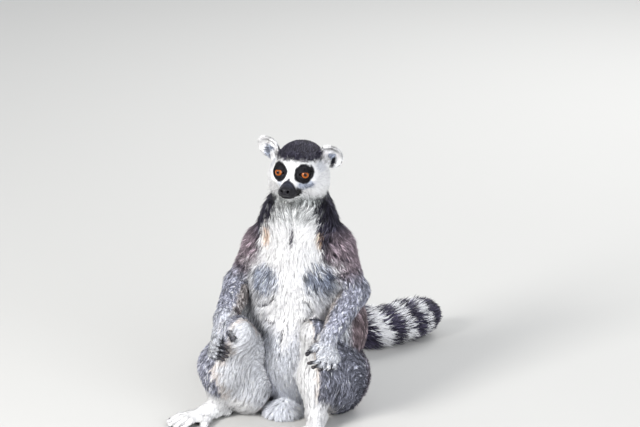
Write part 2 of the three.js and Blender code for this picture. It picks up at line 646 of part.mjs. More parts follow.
const lemur = new THREE.Group();
function addMesh(name, geometry, color, roughness) {
  const mesh = new THREE.Mesh(geometry, new THREE.MeshStandardMaterial({ color, roughness, metalness: 0 }));
  mesh.name = name;
  lemur.add(mesh);
}
for (const p of pieces) addMesh(p.name, geometryOf(buildPiece(p)), p.colour, 0.9);
for (const side of Object.keys(sides)) addMesh(`eye_${side}`, eyeBall(side, 0), COLOUR.amber, 0.1);
for (const side of Object.keys(sides)) {
  const head = solidOfSurface(grownSurface(surface(wholeField, HEAD_BLOCK, CELL.head), CUT_GAP));
  addMesh(`ear_${side}`, geometryOf(cleanBody(earSolid(EARS[side]).subtract(head))), COLOUR.white, 0.9);
}
for (let i = 0; i < TAIL_PIECES; i++) {
  const from = i / TAIL_PIECES;
  const to = (i + 1) / TAIL_PIECES;
  const cut = (t) => ({ point: tailPoint(t), normal: TAIL_PATH.getTangentAt(t) });
  const past = 0.02; // each loft runs past its cuts
  let solid = tailSolid(i ? from - past : 0, to < 1 ? to + past : 1);
  if (i) solid = solid.intersect(halfSpace(cut(from), BEYOND));
  if (to < 1) solid = solid.intersect(halfSpace(cut(to), BEFORE));
  if (!i) solid = solid.intersect(halfSpace(cut(0.01), BEYOND));
  const colour = i % 2 ? COLOUR.white : COLOUR.black;
  addMesh(`tail_${i + 1}`, geometryOf(cleanBody(solid.intersect(aboveGround))), colour, 0.9);
}

export default lemur;
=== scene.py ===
"""A life-size ring-tailed lemur, sitting upright to warm its belly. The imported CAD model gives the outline
out to the tips of the coat. Here one skin lies inside it, with a coat of solid tufts, eyes and nails.

Body positions are in millimetres in the row frame, and become metres when a mesh is made."""
import math

import bpy
import numpy as np
from mathutils import Matrix, Vector
from mathutils.kdtree import KDTree


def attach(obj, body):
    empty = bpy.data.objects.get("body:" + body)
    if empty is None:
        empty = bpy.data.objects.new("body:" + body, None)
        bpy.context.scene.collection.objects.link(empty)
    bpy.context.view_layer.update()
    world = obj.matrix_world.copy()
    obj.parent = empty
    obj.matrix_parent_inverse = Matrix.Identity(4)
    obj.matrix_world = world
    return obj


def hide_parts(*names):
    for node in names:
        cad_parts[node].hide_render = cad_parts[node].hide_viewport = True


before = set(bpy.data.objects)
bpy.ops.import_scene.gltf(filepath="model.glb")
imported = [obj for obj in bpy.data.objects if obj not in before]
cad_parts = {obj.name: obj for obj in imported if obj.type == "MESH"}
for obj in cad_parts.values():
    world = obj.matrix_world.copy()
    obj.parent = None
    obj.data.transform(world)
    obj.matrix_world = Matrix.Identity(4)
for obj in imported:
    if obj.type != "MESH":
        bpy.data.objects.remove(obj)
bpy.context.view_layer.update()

METRE = 0.001  # of a millimetre
RIGHT, LEFT = -1, 1
SIDES = {"right": RIGHT, "left": LEFT}


def vec(x, y, z):
    return np.array([x, y, z], float)


def unit(v):
    return v / np.maximum(np.linalg.norm(v, axis=-1, keepdims=True), 1e-9)


def mix(a, b, t):
    return a + (b - a) * t


def ramp(x, low, high):
    """0 below low, 1 above high, smooth between; low may be the larger."""
    t = np.clip((x - low) / (high - low), 0, 1)
    return t * t * (3 - 2 * t)


# ---- camera: the photograph's viewing angle, from far off through a long lens ----
AZIMUTH, ELEVATION = math.radians(12), math.radians(17)
DISTANCE = 4.5
SENSOR = 36.0
VIEW_WIDTH = 0.896  # metres across the frame at the animal
AIM_RIGHT, AIM_UP = 0.031, 0.2695  # of the frame's centre from the origin, along the camera's own axes


def make_camera():
    ca, sa = math.cos(AZIMUTH), math.sin(AZIMUTH)
    ce, se = math.cos(ELEVATION), math.sin(ELEVATION)
    right = Vector((ca, sa, 0))
    back = Vector((sa * ce, -ca * ce, se))
    up = back.cross(right)
    camera = bpy.data.objects.new("camera", bpy.data.cameras.new("camera"))
    bpy.context.scene.collection.objects.link(camera)
    place = right * AIM_RIGHT + up * AIM_UP + back * DISTANCE
    axes = Matrix((right, up, back)).transposed().to_4x4()
    camera.matrix_world = Matrix.Translation(place) @ axes
    camera.data.sensor_width = SENSOR
    camera.data.lens = SENSOR * DISTANCE / VIEW_WIDTH
    bpy.context.scene.camera = camera


make_camera()

# ---- the animal's dimensions, as in the CAD source; but its right ear lies 3 mm lower here ----
HEAD = vec(4.5, -8, 344)
HEAD_TURN = math.radians(-5)
HEAD_ROLL = math.radians(0.6)
EYE = vec(17.6, -30.5, 7.0)  # in the head's frame, the left one
EYE_RADIUS = 8.2
EARS = {
    "right": dict(root=vec(-35, 8, 17), tip=vec(-61, 11, 39), middle=0.46, width=18,
                  opening=vec(-0.5, -0.8, -0.2)),
    "left": dict(root=vec(34, 8, 18), tip=vec(56, 9, 31), middle=0.34, width=19,
                 opening=vec(0.35, -0.85, -0.3)),
}
EAR_DEPTH = 9
HIP = vec(50, 6, 50)
ARMS = {
    "right": dict(shoulder=vec(-50, 2, 231), elbow=vec(-86, 12, 170), wrist=vec(-85, -76, 148),
                  thick=(22, 17)),
    "left": dict(shoulder=vec(53, 2, 236), elbow=vec(79, 4, 173), wrist=vec(60, -86, 132),
                 thick=(22, 14)),
}
LEGS = {
    "right": dict(knee=vec(-65, -90, 132), knee_radius=23, calf=vec(-89, -73, 79), calf_radius=33,
                  ankle=vec(-97, -66, 24), heel=vec(-90, -54, 12.6), toward=unit(vec(-0.66, -0.75, 0)),
                  haunch=vec(-64, -38, 40), haunch_size=vec(36, 42, 42)),
    "left": dict(knee=vec(39, -70, 135), knee_radius=17, calf=vec(44, -66, 70), calf_radius=28,
                 ankle=vec(43, -84, 24), heel=vec(42, -68, 12.6), toward=unit(vec(0.17, -0.98, 0)),
                 haunch=vec(56, -6, 48), haunch_size=vec(39, 56, 52)),
}
THIGH_RADIUS = 49
ANKLE_RADIUS = 15
SOLE_LENGTH = 52
HANDS = {
    "right": dict(knuckles=(vec(-88, -113, 128), vec(-95, -107, 108)),
                  proximal=(vec(0.45, -0.88, -0.05), vec(0.5, -0.86, -0.1)),
                  distal=(vec(0.95, 0.02, -0.3), vec(0.92, 0.1, -0.3)),
                  thumb=(vec(-74, -97, 146), vec(-69, -112, 141), vec(-64, -118, 135))),
    "left": dict(knuckles=(vec(57, -109, 116), vec(75, -104, 112)),
                 proximal=(vec(-0.4, -0.7, -0.6), vec(0.05, -0.42, -0.9)),
                 distal=(vec(-0.95, -0.1, -0.15), vec(-0.85, 0.05, -0.5)),
                 thumb=(vec(54, -94, 130), vec(46, -106, 125), vec(37, -111, 118))),
}
FINGER_RADIUS = 3.6
FINGER_LENGTHS = (24, 28, 28, 23)
TOE_RADIUS = 4.4
TOE_LENGTHS = (30, 36, 37, 32)
TOE_FAN = (0.16, 0.05, -0.07, -0.2)
TOE_SPACING = 6.5
TAIL_RADIUS = 30
TAIL_LIE = 29.5
TAIL_POINTS = [
    (0, 50, 42), (-30, 92, 31), (-76, 118, TAIL_LIE), (-112, 160, TAIL_LIE), (-122, 215, TAIL_LIE),
    (-100, 266, TAIL_LIE), (-56, 294, TAIL_LIE), (-8, 290, TAIL_LIE), (28, 270, TAIL_LIE),
    (54, 272, TAIL_LIE), (83, 298, TAIL_LIE), (117, 339, TAIL_LIE),
]

# How deep the skin lies under the tips of the coat
DEPTH = dict(trunk=6, neck=6, tail=10, crown=4, cheek=5, ear=2.0,
             arm=4, hand=1.3, leg=5, shin=4.5, foot=1.6)

# ---- fields: negative inside, in millimetres, of points in rows ----


def smooth_union(a, b, k):
    h = np.maximum(k - np.abs(a - b), 0) / k
    return np.minimum(a, b) - h * h * k / 4


def smooth_cut(solid, tool, k):
    return -smooth_union(-solid, tool, k)


def blend_all(fields, k):
    def field(p):
        d = fields[0](p)
        for other in fields[1:]:
            d = smooth_union(d, other(p), k)
        return d
    return field


def ball(center, radius):
    return lambda p: np.linalg.norm(p - center, axis=1) - radius


def ellipsoid(center, radii):
    radii = np.asarray(radii, float)

    def field(p):
        q = p - center
        k0 = np.linalg.norm(q / radii, axis=1)
        k1 = np.linalg.norm(q / radii ** 2, axis=1)
        return np.where(k1 > 1e-9, k0 * (k0 - 1) / np.maximum(k1, 1e-9), -radii.min())
    return field


def round_cone(a, b, ra, rb):
    """A sphere of radius ra at a, swept to one of radius rb at b."""
    a, b = np.asarray(a, float), np.asarray(b, float)
    axis = b - a
    l2 = axis @ axis
    drop = ra - rb
    a2 = l2 - drop * drop

    def field(p):
        pa = p - a
        y = pa @ axis
        z = y - l2
        across = ((pa * l2 - y[:, None] * axis) ** 2).sum(1)
        y2, z2 = y * y * l2, z * z * l2
        k = np.sign(drop) * drop * drop * across
        end = np.sqrt(across + z2) / l2 - rb
        start = np.sqrt(across + y2) / l2 - ra
        side = (np.sqrt(across * a2 / l2) + y * drop) / l2 - ra
        return np.where(np.sign(z) * a2 * z2 > k, end, np.where(np.sign(y) * a2 * y2 < k, start, side))
    return field


FAR = 30.0  # beyond this a field is as good as its box


def within(low, high, field):
    """The field near its box; elsewhere the distance from the box stands in for it."""
    low, high = np.asarray(low, float), np.asarray(high, float)

    def limited(p):
        gap = np.linalg.norm(np.maximum(np.maximum(low - p, p - high), 0), axis=1)
        near = gap < FAR
        d = gap.copy()
        if near.any():
            d[near] = field(p[near])
        return d
    return limited


# ---- trunk ----
def trunk_field(inset, neck_inset):
    slopes = [round_cone(vec(SIDES[side] * 17, 6, 276), arm["shoulder"] * (0.92, 1, 1) + (0, 2, -4),
                         33 - neck_inset, 25 - neck_inset) for side, arm in ARMS.items()]
    return blend_all([
        ellipsoid(vec(0, 20, 56), vec(78, 60, 66) - inset),
        ellipsoid(vec(2, -10, 94), vec(54, 64, 70) - inset),
        ellipsoid(vec(3, 20, 116), vec(93, 60, 88) - inset),
        ellipsoid(vec(0, -4, 152), vec(62, 46, 42) - inset),
        ellipsoid(vec(0, 6, 190), vec(72, 60, 62) - inset),
        round_cone(vec(0, 0, 238), vec(3, -3, 316), 48 - neck_inset, 36 - neck_inset),
        round_cone(vec(0, 18, 232), vec(2, 14, 306), 46 - neck_inset, 34 - neck_inset),
        *slopes,
    ], 18)


FOLDS = [  # creases of the loose skin, each as x and z of points on the front of the body
    [(-42, 157), (-32, 162), (-22, 172)], [(20, 172), (30, 156), (19, 143)],
    [(-34, 139), (-25, 136)], [(-8, 126), (-10, 110)],
    [(-88, 212), (-70, 209)], [(-86, 204), (-66, 200)],
    [(46, 210), (60, 206), (76, 206)], [(50, 200), (70, 197)],
    [(48, 253), (60, 245)], [(57, 232), (72, 222)],
]
FOLD_FRONT = -4  # creases show ahead of this y
FOLD_DEPTH, FOLD_WIDTH = 3.2, 2.6
SWELL_HEIGHT, SWELL_WIDTH, SWELL_AWAY = 1.3, 3.5, 7  # of the soft rise on either side of a crease


def fold_distance(p):
    """How far each point is from the nearest crease, as seen from in front."""
    best = np.full(len(p), FAR)
    seen = p[:, [0, 2]]
    for line in np.array([run for fold in FOLDS for run in zip(fold, fold[1:])], float):
        a, ab = line[0], line[1] - line[0]
        t = np.clip((seen - a) @ ab / (ab @ ab), 0, 1)
        best = np.minimum(best, np.linalg.norm(seen - a - t[:, None] * ab, axis=1))
    return np.where(p[:, 1] < FOLD_FRONT, best, FAR)


def folded(field):
    """The field with its creases sunk in, each between two soft swellings."""
    def with_folds(p):
        away = fold_distance(p)
        sunk = FOLD_DEPTH * np.exp(-(away / FOLD_WIDTH) ** 2)
        return field(p) + sunk - SWELL_HEIGHT * np.exp(-((away - SWELL_AWAY) / SWELL_WIDTH) ** 2)
    return with_folds


groin = within((-45, -75, -15), (20, -15, 40), ellipsoid(vec(-12, -40, 5), vec(25, 24, 15) - 2))
trunk = within((-98, -80, -20), (100, 85, 330), folded(trunk_field(DEPTH["trunk"], DEPTH["neck"])))

# ---- head, in its own frame: +Z up, face towards -Y ----
def head_axes():
    """The head's axes as columns: it is turned and rolled a little."""
    ct, st = math.cos(HEAD_TURN), math.sin(HEAD_TURN)
    cr, sr = math.cos(HEAD_ROLL), math.sin(HEAD_ROLL)
    turn = np.array([[ct, -st, 0], [st, ct, 0], [0, 0, 1]])
    roll = np.array([[cr, 0, sr], [0, 1, 0], [-sr, 0, cr]])
    return turn @ roll


HEAD_AXES = head_axes()


def to_head(p):
    return (p - HEAD) @ HEAD_AXES


def from_head(q):
    return q @ HEAD_AXES.T + HEAD


def mirrored(q):
    """Both sides of the head folded onto the left one."""
    return np.abs(q * (1, 0, 0)) + q * (0, 1, 1)


GAZE_SPLAY = math.radians(12.5)  # of each eye from the face's own direction
GAZE_TURN = math.radians(7.5)  # of both, towards its left
GAZE_RISE = math.radians(8)
LID_RADIUS = EYE_RADIUS + 1.8


def gaze(side):
    yaw = GAZE_TURN + side * GAZE_SPLAY
    level = math.cos(GAZE_RISE)
    return vec(math.sin(yaw) * level, -math.cos(yaw) * level, math.sin(GAZE_RISE))


def eye_place(side):
    return EYE * (side, 1, 1)


def frame_of(way, hint):
    """Axes as columns: across, along the hint as far as it can, and the way itself."""
    way = unit(way)
    across = unit(np.cross(hint, way))
    return np.stack([across, np.cross(way, across), way], 1)


LID_WIDTH, LID_DROP = 7.1, 4.4  # half of the opening's width, and how far it reaches below the gaze
LID_RISE = {RIGHT: 3.4, LEFT: 2.9}  # and above it: the left upper lid hangs lower


def lid_opening(side):
    """The slit between the lids: an almond along the gaze, its inner corner lower and drawn out."""
    axes = frame_of(gaze(side), vec(0, 0, 1))

    def field(q):
        e = (q - eye_place(side)) @ axes
        x, y = e[:, 0] * side, e[:, 1]
        y = y + 0.10 * x  # the inner corner is lower
        ahead = e[:, 2]
        oval = np.hypot(x / LID_WIDTH, y / np.where(y > 0, LID_RISE[side], LID_DROP)) - 1
        corner = np.hypot((x + 5.8) / 3.0, (y + 0.9) / 1.4) - 1
        slit = np.minimum(oval * 4.5, corner * 1.6)
        return np.maximum(slit, 2.0 - ahead)
    return field


def head_bones(q):
    m = mirrored(q)
    crown, cheek = DEPTH["crown"], DEPTH["cheek"]
    d = smooth_union(ellipsoid(vec(0, 8, 9), vec(37, 41, 35) - crown)(q),
                     ellipsoid(vec(0, -18, 9), vec(30, 20, 25) - 3)(q), 10)
    d = smooth_union(d, ellipsoid(vec(21, -3, -8), vec(24, 29, 30) - cheek)(m), 12)
    brow = round_cone(vec(9, -33.5, 15), vec(21, -29.5, 16), 3.4, 3.2)(m)
    cheekbone = round_cone(vec(16, -32, -6), vec(25, -25, -3), 4.5, 5)(m)
    return smooth_union(d, smooth_union(brow, cheekbone, 4), 7)


def muzzle_shape(q):
    m = mirrored(q)
    bridge = round_cone(vec(0, -27, 3), vec(0, -54, -9.2), 10.5, 6.8)(q)
    body = round_cone(vec(0, -22, -9), vec(0, -52, -13.0), 17.5, 10.2)(q)
    pad = ellipsoid(vec(6.4, -52, -14.8), vec(6.8, 10, 6.4))(m)
    jaw = round_cone(vec(0, -12, -20.5), vec(0, -46.5, -22.4), 15.5, 5.0)(q)
    d = smooth_union(smooth_union(body, bridge, 6), pad, 4)
    d = smooth_union(d, jaw, 3)
    pad_of_nose = ellipsoid(vec(0, -60.2, -10.6), vec(9.4, 7.4, 6.6))(q)
    return smooth_union(d, pad_of_nose, 2.2)


MOUTH_CORNER = -35.0  # how far back the mouth reaches


def mouth_height(q):
    return -20.0 + 0.007 * (q[:, 1] + 50) ** 2


def head_field(p):
    q = to_head(p)
    m = mirrored(q)
    d = smooth_union(head_bones(q), muzzle_shape(q), 9)
    slot = np.maximum(np.abs(q[:, 2] - mouth_height(q)) - 0.35, -(d + 1.8))
    slot = np.maximum(slot, q[:, 1] - MOUTH_CORNER)
    d = smooth_cut(d, slot, 1.4)
    nostril = round_cone(vec(3.9, -64.6, -10.2), vec(2.6, -58.5, -10.4), 2.0, 1.6)(m)
    comma = round_cone(vec(4.4, -64.2, -9.6), vec(8.9, -59.6, -7.8), 1.25, 0.7)(m)
    d = smooth_cut(d, smooth_union(nostril, comma, 1.4), 1.0)
    philtrum = round_cone(vec(0, -67.9, -9), vec(0, -63.2, -17.5), 0.55, 0.5)(q)
    d = smooth_cut(d, philtrum, 1.2)
    for side in (RIGHT, LEFT):
        center = eye_place(side)
        d = smooth_union(d, ball(center, LID_RADIUS)(q), 3.0)
        d = smooth_cut(d, lid_opening(side)(q), 1.3)
        d = np.maximum(d, -ball(center, EYE_RADIUS + 0.12)(q))
    return d


def ear_frame(side):
    ear = EARS[side]
    along = unit(ear["tip"] - ear["root"])
    across = unit(np.cross(ear["opening"], along))
    return np.stack([across, np.cross(along, across), along], 1)


def ear_point(side, p):
    """Ear coordinates: across, out of the opening, and along, with 0 at the middle of the cup."""
    ear = EARS[side]
    center = mix(ear["root"], ear["tip"], ear["middle"])
    return (to_head(p) - center) @ ear_frame(side)


EAR_WALL = 2.4  # thickness of the skin's own cup
EAR_REACH = 34  # half of the side of the box that holds an ear


def ear_size(side):
    ear = EARS[side]
    half = np.linalg.norm(ear["tip"] - ear["root"]) * (1 - ear["middle"])
    return ear["width"] - DEPTH["ear"], half - DEPTH["ear"] - 0.7


def ear_field(side):
    ear = EARS[side]
    width, half = ear_size(side)

    def field(p):
        e = ear_point(side, p)
        taper = 1 - 0.12 * np.clip(e[:, 2] / half, -1, 1)
        q = e / np.stack([taper, np.ones(len(e)), np.ones(len(e))], 1)
        middle = np.array([width, EAR_DEPTH - 2.5, half])
        shell = np.abs(ellipsoid(vec(0, 0, 0), middle)(q)) - EAR_WALL / 2
        rim = np.hypot(np.maximum(shell + 0.5, 0), np.maximum(e[:, 1] + 0.5, 0)) - 0.5
        cup = np.where(e[:, 1] > -0.5, rim, shell)
        h = to_head(p)
        base = mix(ear["root"], ear["tip"], ear["middle"] * 0.62) - ear_frame(side)[:, 1] * EAR_DEPTH * 0.55
        stem = round_cone(ear["root"] - unit(ear["tip"] - ear["root"]) * 4, base, 9.5, 5.0)(h)
        lobe = ball(np.zeros(3), 1)(e / (width * 0.62, 4.6, half * 0.55)) * 5
        return smooth_union(smooth_union(cup, stem, 5), np.maximum(lobe, e[:, 1] + 3.2), 2)
    return field


def near_ear(side):
    middle = from_head(mix(EARS[side]["root"], EARS[side]["tip"], 0.5))
    return within(middle - EAR_REACH, middle + EAR_REACH, ear_field(side))


ears = {side: near_ear(side) for side in SIDES}
head = within(HEAD - (52, 74, 50), HEAD + (52, 52, 48), head_field)

# ---- limbs ----


def digit_points(side):
    """For each finger its knuckle, middle joint and tip, and then the thumb's."""
    hand = HANDS[side]
    made = []
    for i, length in enumerate(FINGER_LENGTHS):
        t = i / (len(FINGER_LENGTHS) - 1)
        knuckle = mix(*hand["knuckles"], t)
        bend = knuckle + unit(mix(*hand["proximal"], t)) * length * 0.45
        tip = bend + unit(mix(*hand["distal"], t)) * length * 0.5
        made.append([knuckle, bend, tip])
    return made + [list(hand["thumb"])]


def foot_frame(side):
    leg = LEGS[side]
    line = leg["toward"]
    inner = vec(-line[1], line[0], 0) * -SIDES[side]
    ball_of_foot = leg["heel"] + line * SOLE_LENGTH
    ball_of_foot[2] = 8
    return line, inner, ball_of_foot


def toe_points(side):
    line, inner, ball_of_foot = foot_frame(side)
    made = []
    for i, length in enumerate(TOE_LENGTHS):
        root = ball_of_foot + inner * (1.4 - i) * TOE_SPACING
        tip = root + unit(line + inner * TOE_FAN[i]) * length
        middle = mix(root, tip, 0.5) + vec(0, 0, 1.4)
        tip[2] = TOE_RADIUS - 0.6
        made.append([root, middle, tip])
    big = LEGS[side]["heel"] + line * SOLE_LENGTH * 0.62 + inner * 6
    big[2] = 8
    tip = big + inner * 19 + line * 22
    tip[2] = 4.8
    return made + [[big, mix(big, tip, 0.5) + vec(0, 0, 0.8), tip]]


def digit_field(points, thick, pad):
    """A finger or toe: its two lengths, a swelling at the joint and a pad under the tip."""
    knuckle, bend, tip = points
    shape = [
        round_cone(knuckle, bend, thick + 0.3, thick - 0.5),
        round_cone(bend, tip, thick - 0.4, thick - 0.7),
        ball(bend, thick - 0.05),
        ball(tip - unit(tip - bend) * 0.6 + pad, thick - 0.35),
    ]
    return blend_all(shape, 1.6)


def box_of(points, reach):
    points = np.asarray(points)
    return points.min(0) - reach, points.max(0) + reach


PALM_SIDE = {"right": vec(0.75, 0.35, -0.5), "left": vec(-0.2, 0.75, -0.5)}


def arm_field(side):
    arm = ARMS[side]
    shoulder = arm["shoulder"]
    elbow, wrist, thick, inset = arm["elbow"], arm["wrist"], arm["thick"], DEPTH["arm"]
    flesh = blend_all([
        round_cone(shoulder, elbow, 26 - inset, thick[0] - 2 - inset),
        round_cone(elbow, wrist, thick[0] - inset, thick[1] - inset),
    ], 8)
    return within(*box_of([shoulder, elbow, wrist], 28), folded(flesh))


def hand_field(side):
    arm = ARMS[side]
    first, last = HANDS[side]["knuckles"]
    wrist = arm["wrist"]
    thick = arm["thick"][1] - DEPTH["arm"]
    digits = digit_points(side)
    knuckles = mix(first, last, 0.5)
    palm = [
        round_cone(wrist, knuckles, thick - 1.0, 6.6),
        round_cone(mix(wrist, first, 0.25), first, 6.0, 5.0),
        round_cone(mix(wrist, last, 0.25), last, 6.0, 4.8),
        round_cone(first, last, 5.0, 4.8),
        round_cone(mix(wrist, digits[4][0], 0.3), digits[4][0], 6.4, 4.8),
    ]
    thick_digit = FINGER_RADIUS - DEPTH["hand"] + 0.45
    pad = unit(PALM_SIDE[side]) * 0.7
    fingers = [digit_field(d, thick_digit + (0.5 if i == 4 else 0), pad) for i, d in enumerate(digits)]
    shape = blend_all([blend_all(palm, 5), *fingers], 1.2)
    return within(*box_of([wrist, *sum(digits, [])], 12), shape)


HIP_OUT = 7  # how far the thighs' flesh is drawn outwards, clear of the belly


def leg_field(side):
    leg = LEGS[side]
    hip = HIP * (SIDES[side], 1, 1) + (SIDES[side] * HIP_OUT, 0, 0)
    inset = DEPTH["leg"]
    knee_radius, calf_radius = leg["knee_radius"] - inset - 1, leg["calf_radius"] - inset - 1
    flesh = blend_all([
        round_cone(hip, leg["knee"], THIGH_RADIUS - HIP_OUT - inset, knee_radius),
        round_cone(leg["knee"], leg["calf"], knee_radius, calf_radius),
        round_cone(leg["calf"], leg["ankle"], calf_radius, ANKLE_RADIUS - DEPTH["shin"]),
        ellipsoid(leg["haunch"], leg["haunch_size"] - inset),
    ], 22)
    return within(*box_of([hip, leg["knee"], leg["calf"], leg["haunch"], leg["ankle"]], 45), flesh)


def foot_field(side):
    leg = LEGS[side]
    line, _, ball_of_foot = foot_frame(side)
    inset = DEPTH["foot"]
    toes = toe_points(side)
    sole = [
        round_cone(leg["ankle"], leg["heel"], ANKLE_RADIUS - DEPTH["shin"], 12.2 - inset),
        round_cone(leg["ankle"], ball_of_foot, 10 - inset, 9 - inset),
        round_cone(leg["heel"], ball_of_foot, 12.2 - inset, 9 - inset),
        round_cone(toes[0][0], toes[3][0], 6.6, 6.4),
        round_cone(leg["heel"] + line * 12, toes[4][0], 9, 7),
    ]
    thick = TOE_RADIUS - 0.35
    digits = [digit_field(t, thick + (1.6 if i == 4 else 0.2), vec(0, 0, -0.5)) for i, t in enumerate(toes)]
    shape = blend_all([blend_all(sole, 5), *digits], 1.5)
    return within(*box_of([leg["ankle"], *sum(toes, [])], 14), shape)


# ---- tail: a core along a smooth curve ----
TAIL_STEPS = 24  # between two of its points
COARSE = 6  # every so many steps are tried first when the nearest one is looked for


def catmull_rom(points):
    """The centripetal curve through the points, as the CAD source draws it."""
    points = np.asarray(points, float)
    ends = [2 * points[0] - points[1], *points, 2 * points[-1] - points[-2]]
    made = []
    for run in zip(ends, ends[1:], ends[2:], ends[3:]):
        gaps = [np.linalg.norm(b - a) ** 0.5 for a, b in zip(run, run[1:])]
        knot = np.concatenate([[0], np.cumsum(gaps)])
        for t in np.linspace(knot[1], knot[2], TAIL_STEPS, endpoint=False):
            row = list(run)
            for span in (1, 2):
                row = [mix(row[i], row[i + 1], (t - knot[i]) / (knot[i + span] - knot[i]))
                       for i in range(len(row) - 1)]
            made.append(mix(row[0], row[1], (t - knot[1]) / (knot[2] - knot[1])))
    return np.array(made + [points[-1]])


TAIL_LINE = catmull_rom(TAIL_POINTS)
TAIL_RUN = np.concatenate([[0], np.cumsum(np.linalg.norm(np.diff(TAIL_LINE, axis=0), axis=1))])
TAIL_LENGTH = TAIL_RUN[-1]


def tail_place(p):
    """For each point its distance from the tail's middle line, and how far along the tail it is."""
    nearest = np.zeros(len(p), int)
    best = np.full(len(p), np.inf)
    for i, middle in enumerate(TAIL_LINE[::COARSE]):
        d = ((p - middle) ** 2).sum(1)
        closer = d < best
        best[closer] = d[closer]
        nearest[closer] = i
    distance = np.full(len(p), np.inf)
    along = np.zeros(len(p))
    for shift in range(-COARSE, COARSE):
        start = np.clip(nearest * COARSE + shift, 0, len(TAIL_LINE) - 2)
        a, b = TAIL_LINE[start], TAIL_LINE[start + 1]
        ab = b - a
        t = np.clip(((p - a) * ab).sum(1) / (ab ** 2).sum(1), 0, 1)
        d = np.linalg.norm(p - a - ab * t[:, None], axis=1)
        closer = d < distance
        distance[closer] = d[closer]
        along[closer] = mix(TAIL_RUN[start], TAIL_RUN[start + 1], t)[closer]
    return distance, along


def tail_point(along):
    """The places on the tail's middle line, at these lengths from its root."""
    return np.stack([np.interp(along, TAIL_RUN, TAIL_LINE[:, i]) for i in range(3)], 1)


def tail_radius(along):
    """Of the coat's tips: the tail swells over its first fifth and narrows at its end."""
    t = along / TAIL_LENGTH
    swell = mix(0.86, 1, np.clip(t * 5, 0, 1))
    return TAIL_RADIUS * swell * mix(1, 0.95, np.clip((t - 0.93) / 0.07, 0, 1))


def tail_field(p):
    distance, along = tail_place(p)
    return distance - (tail_radius(along) - DEPTH["tail"])


tail = within(*box_of(TAIL_LINE, TAIL_RADIUS), tail_field)
arms = {side: arm_field(side) for side in SIDES}
hands = {side: hand_field(side) for side in SIDES}
legs = {side: leg_field(side) for side in SIDES}
feet = {side: foot_field(side) for side in SIDES}
# Over how many millimetres the parts run into each other
JOIN = dict(neck=12, groin=22, ear=3, knees=3, hips=7, wrist=6, ankle=5, tail=8)
ARM_JOIN, SHOULDER_JOIN = 2.0, 20.0  # of an arm with the trunk, below and above the shoulder's levels
SHOULDER_LEVEL = (196, 236)
SOLE_LEVEL = 0.6  # the skin ends flat at this height over the floor


def whole_field(p):
    d = smooth_union(trunk(p), head(p), JOIN["neck"])
    d = smooth_union(d, groin(p), JOIN["groin"])
    for side in SIDES:
        d = smooth_union(d, ears[side](p), JOIN["ear"])
    d = smooth_union(d, smooth_union(legs["right"](p), legs["left"](p), JOIN["knees"]), JOIN["hips"])
    rise = np.clip((p[:, 2] - SHOULDER_LEVEL[0]) / (SHOULDER_LEVEL[1] - SHOULDER_LEVEL[0]), 0, 1)
    for side in SIDES:
        arm = smooth_union(arms[side](p), hands[side](p), JOIN["wrist"])
        d = smooth_union(d, arm, mix(ARM_JOIN, SHOULDER_JOIN, rise))
        d = smooth_union(d, feet[side](p), JOIN["ankle"])
    d = smooth_union(d, tail(p), JOIN["tail"])
    return np.maximum(d, SOLE_LEVEL - p[:, 2])


# ---- meshing: one vertex in each cell that the surface crosses, in a grid that is finer on the details ----
CELL = 2.3  # millimetres across, where no lens tightens the grid
LEVELS = 3  # the search starts with cells this many halvings larger
NEARNESS = 1.9  # a cell is kept while the surface is nearer to its middle than this, in cell sizes
KEY_BASE = 4096  # more than the cells along any side
CORNERS = np.array([(i & 1, i >> 1 & 1, i >> 2 & 1) for i in range(8)])
LENSES = [  # where the grid tightens: middle, reach, and by what share
    (HEAD + (0, -30, 2), 50, 0.7),
    *[(from_head(mix(EARS[s]["root"], EARS[s]["tip"], 0.6)), 26, 0.45) for s in SIDES],
    *[(mix(*HANDS[s]["knuckles"], 0.5) + (0, -8, 0), 34, 0.5) for s in SIDES],
    *[(foot_frame(s)[2] + foot_frame(s)[0] * 12, 40, 0.42) for s in SIDES],
]


def through_lenses(g):
    """Grid place to body place."""
    p = g.copy()
    for middle, reach, share in LENSES:
        away = g - middle
        p -= away * (share * np.exp(-(away ** 2).sum(1) / reach ** 2))[:, None]
    return p


def keyed(cells):
    """One number for each cell or lattice place."""
    return (cells[:, 0] * KEY_BASE + cells[:, 1]) * KEY_BASE + cells[:, 2]


def cells_near(field, low, high):
    """The cells that the surface may cross, and their size: whole blocks are searched, then their halves."""
    step = CELL * 2 ** LEVELS
    count = np.ceil((high - low) / step).astype(int)
    cells = np.stack(np.meshgrid(*[np.arange(c) for c in count], indexing="ij"), -1).reshape(-1, 3)
    for level in range(LEVELS + 1):
        near = np.abs(field(through_lenses(low + (cells + 0.5) * step))) < step * NEARNESS
        cells = cells[near]
        if level < LEVELS:
            cells = (cells[:, None] * 2 + CORNERS).reshape(-1, 3)
            step /= 2
    return cells, step


def corner_values(field, cells, low, step):
    """The field's values on the lattice, and the numbers of each cell's corners there."""
    lattice, corner = np.unique(keyed((cells[:, None] + CORNERS).reshape(-1, 3)), return_inverse=True)
    places = np.stack([lattice // KEY_BASE ** 2, lattice // KEY_BASE % KEY_BASE, lattice % KEY_BASE], 1)
    value = field(through_lenses(low + places * step))
    value[value == 0] = 1e-6
    return value, corner.reshape(-1, 8)


def middles_of_cuts(value, corner):
    """For each cell the mean place of the cuts on its edges, from 0 to 1 across it."""
    total = np.zeros((len(corner), 3))
    hits = np.zeros(len(corner))
    for a in range(8):
        for bit in (1, 2, 4):
            if a & bit:
                continue
            va, vb = value[corner[:, a]], value[corner[:, a | bit]]
            cut = (va < 0) != (vb < 0)
            t = np.where(cut, va / np.where(cut, va - vb, 1), 0)[:, None]
            total += np.where(cut[:, None], mix(CORNERS[a], CORNERS[a | bit], t), 0)
            hits += cut
    return total / hits[:, None]


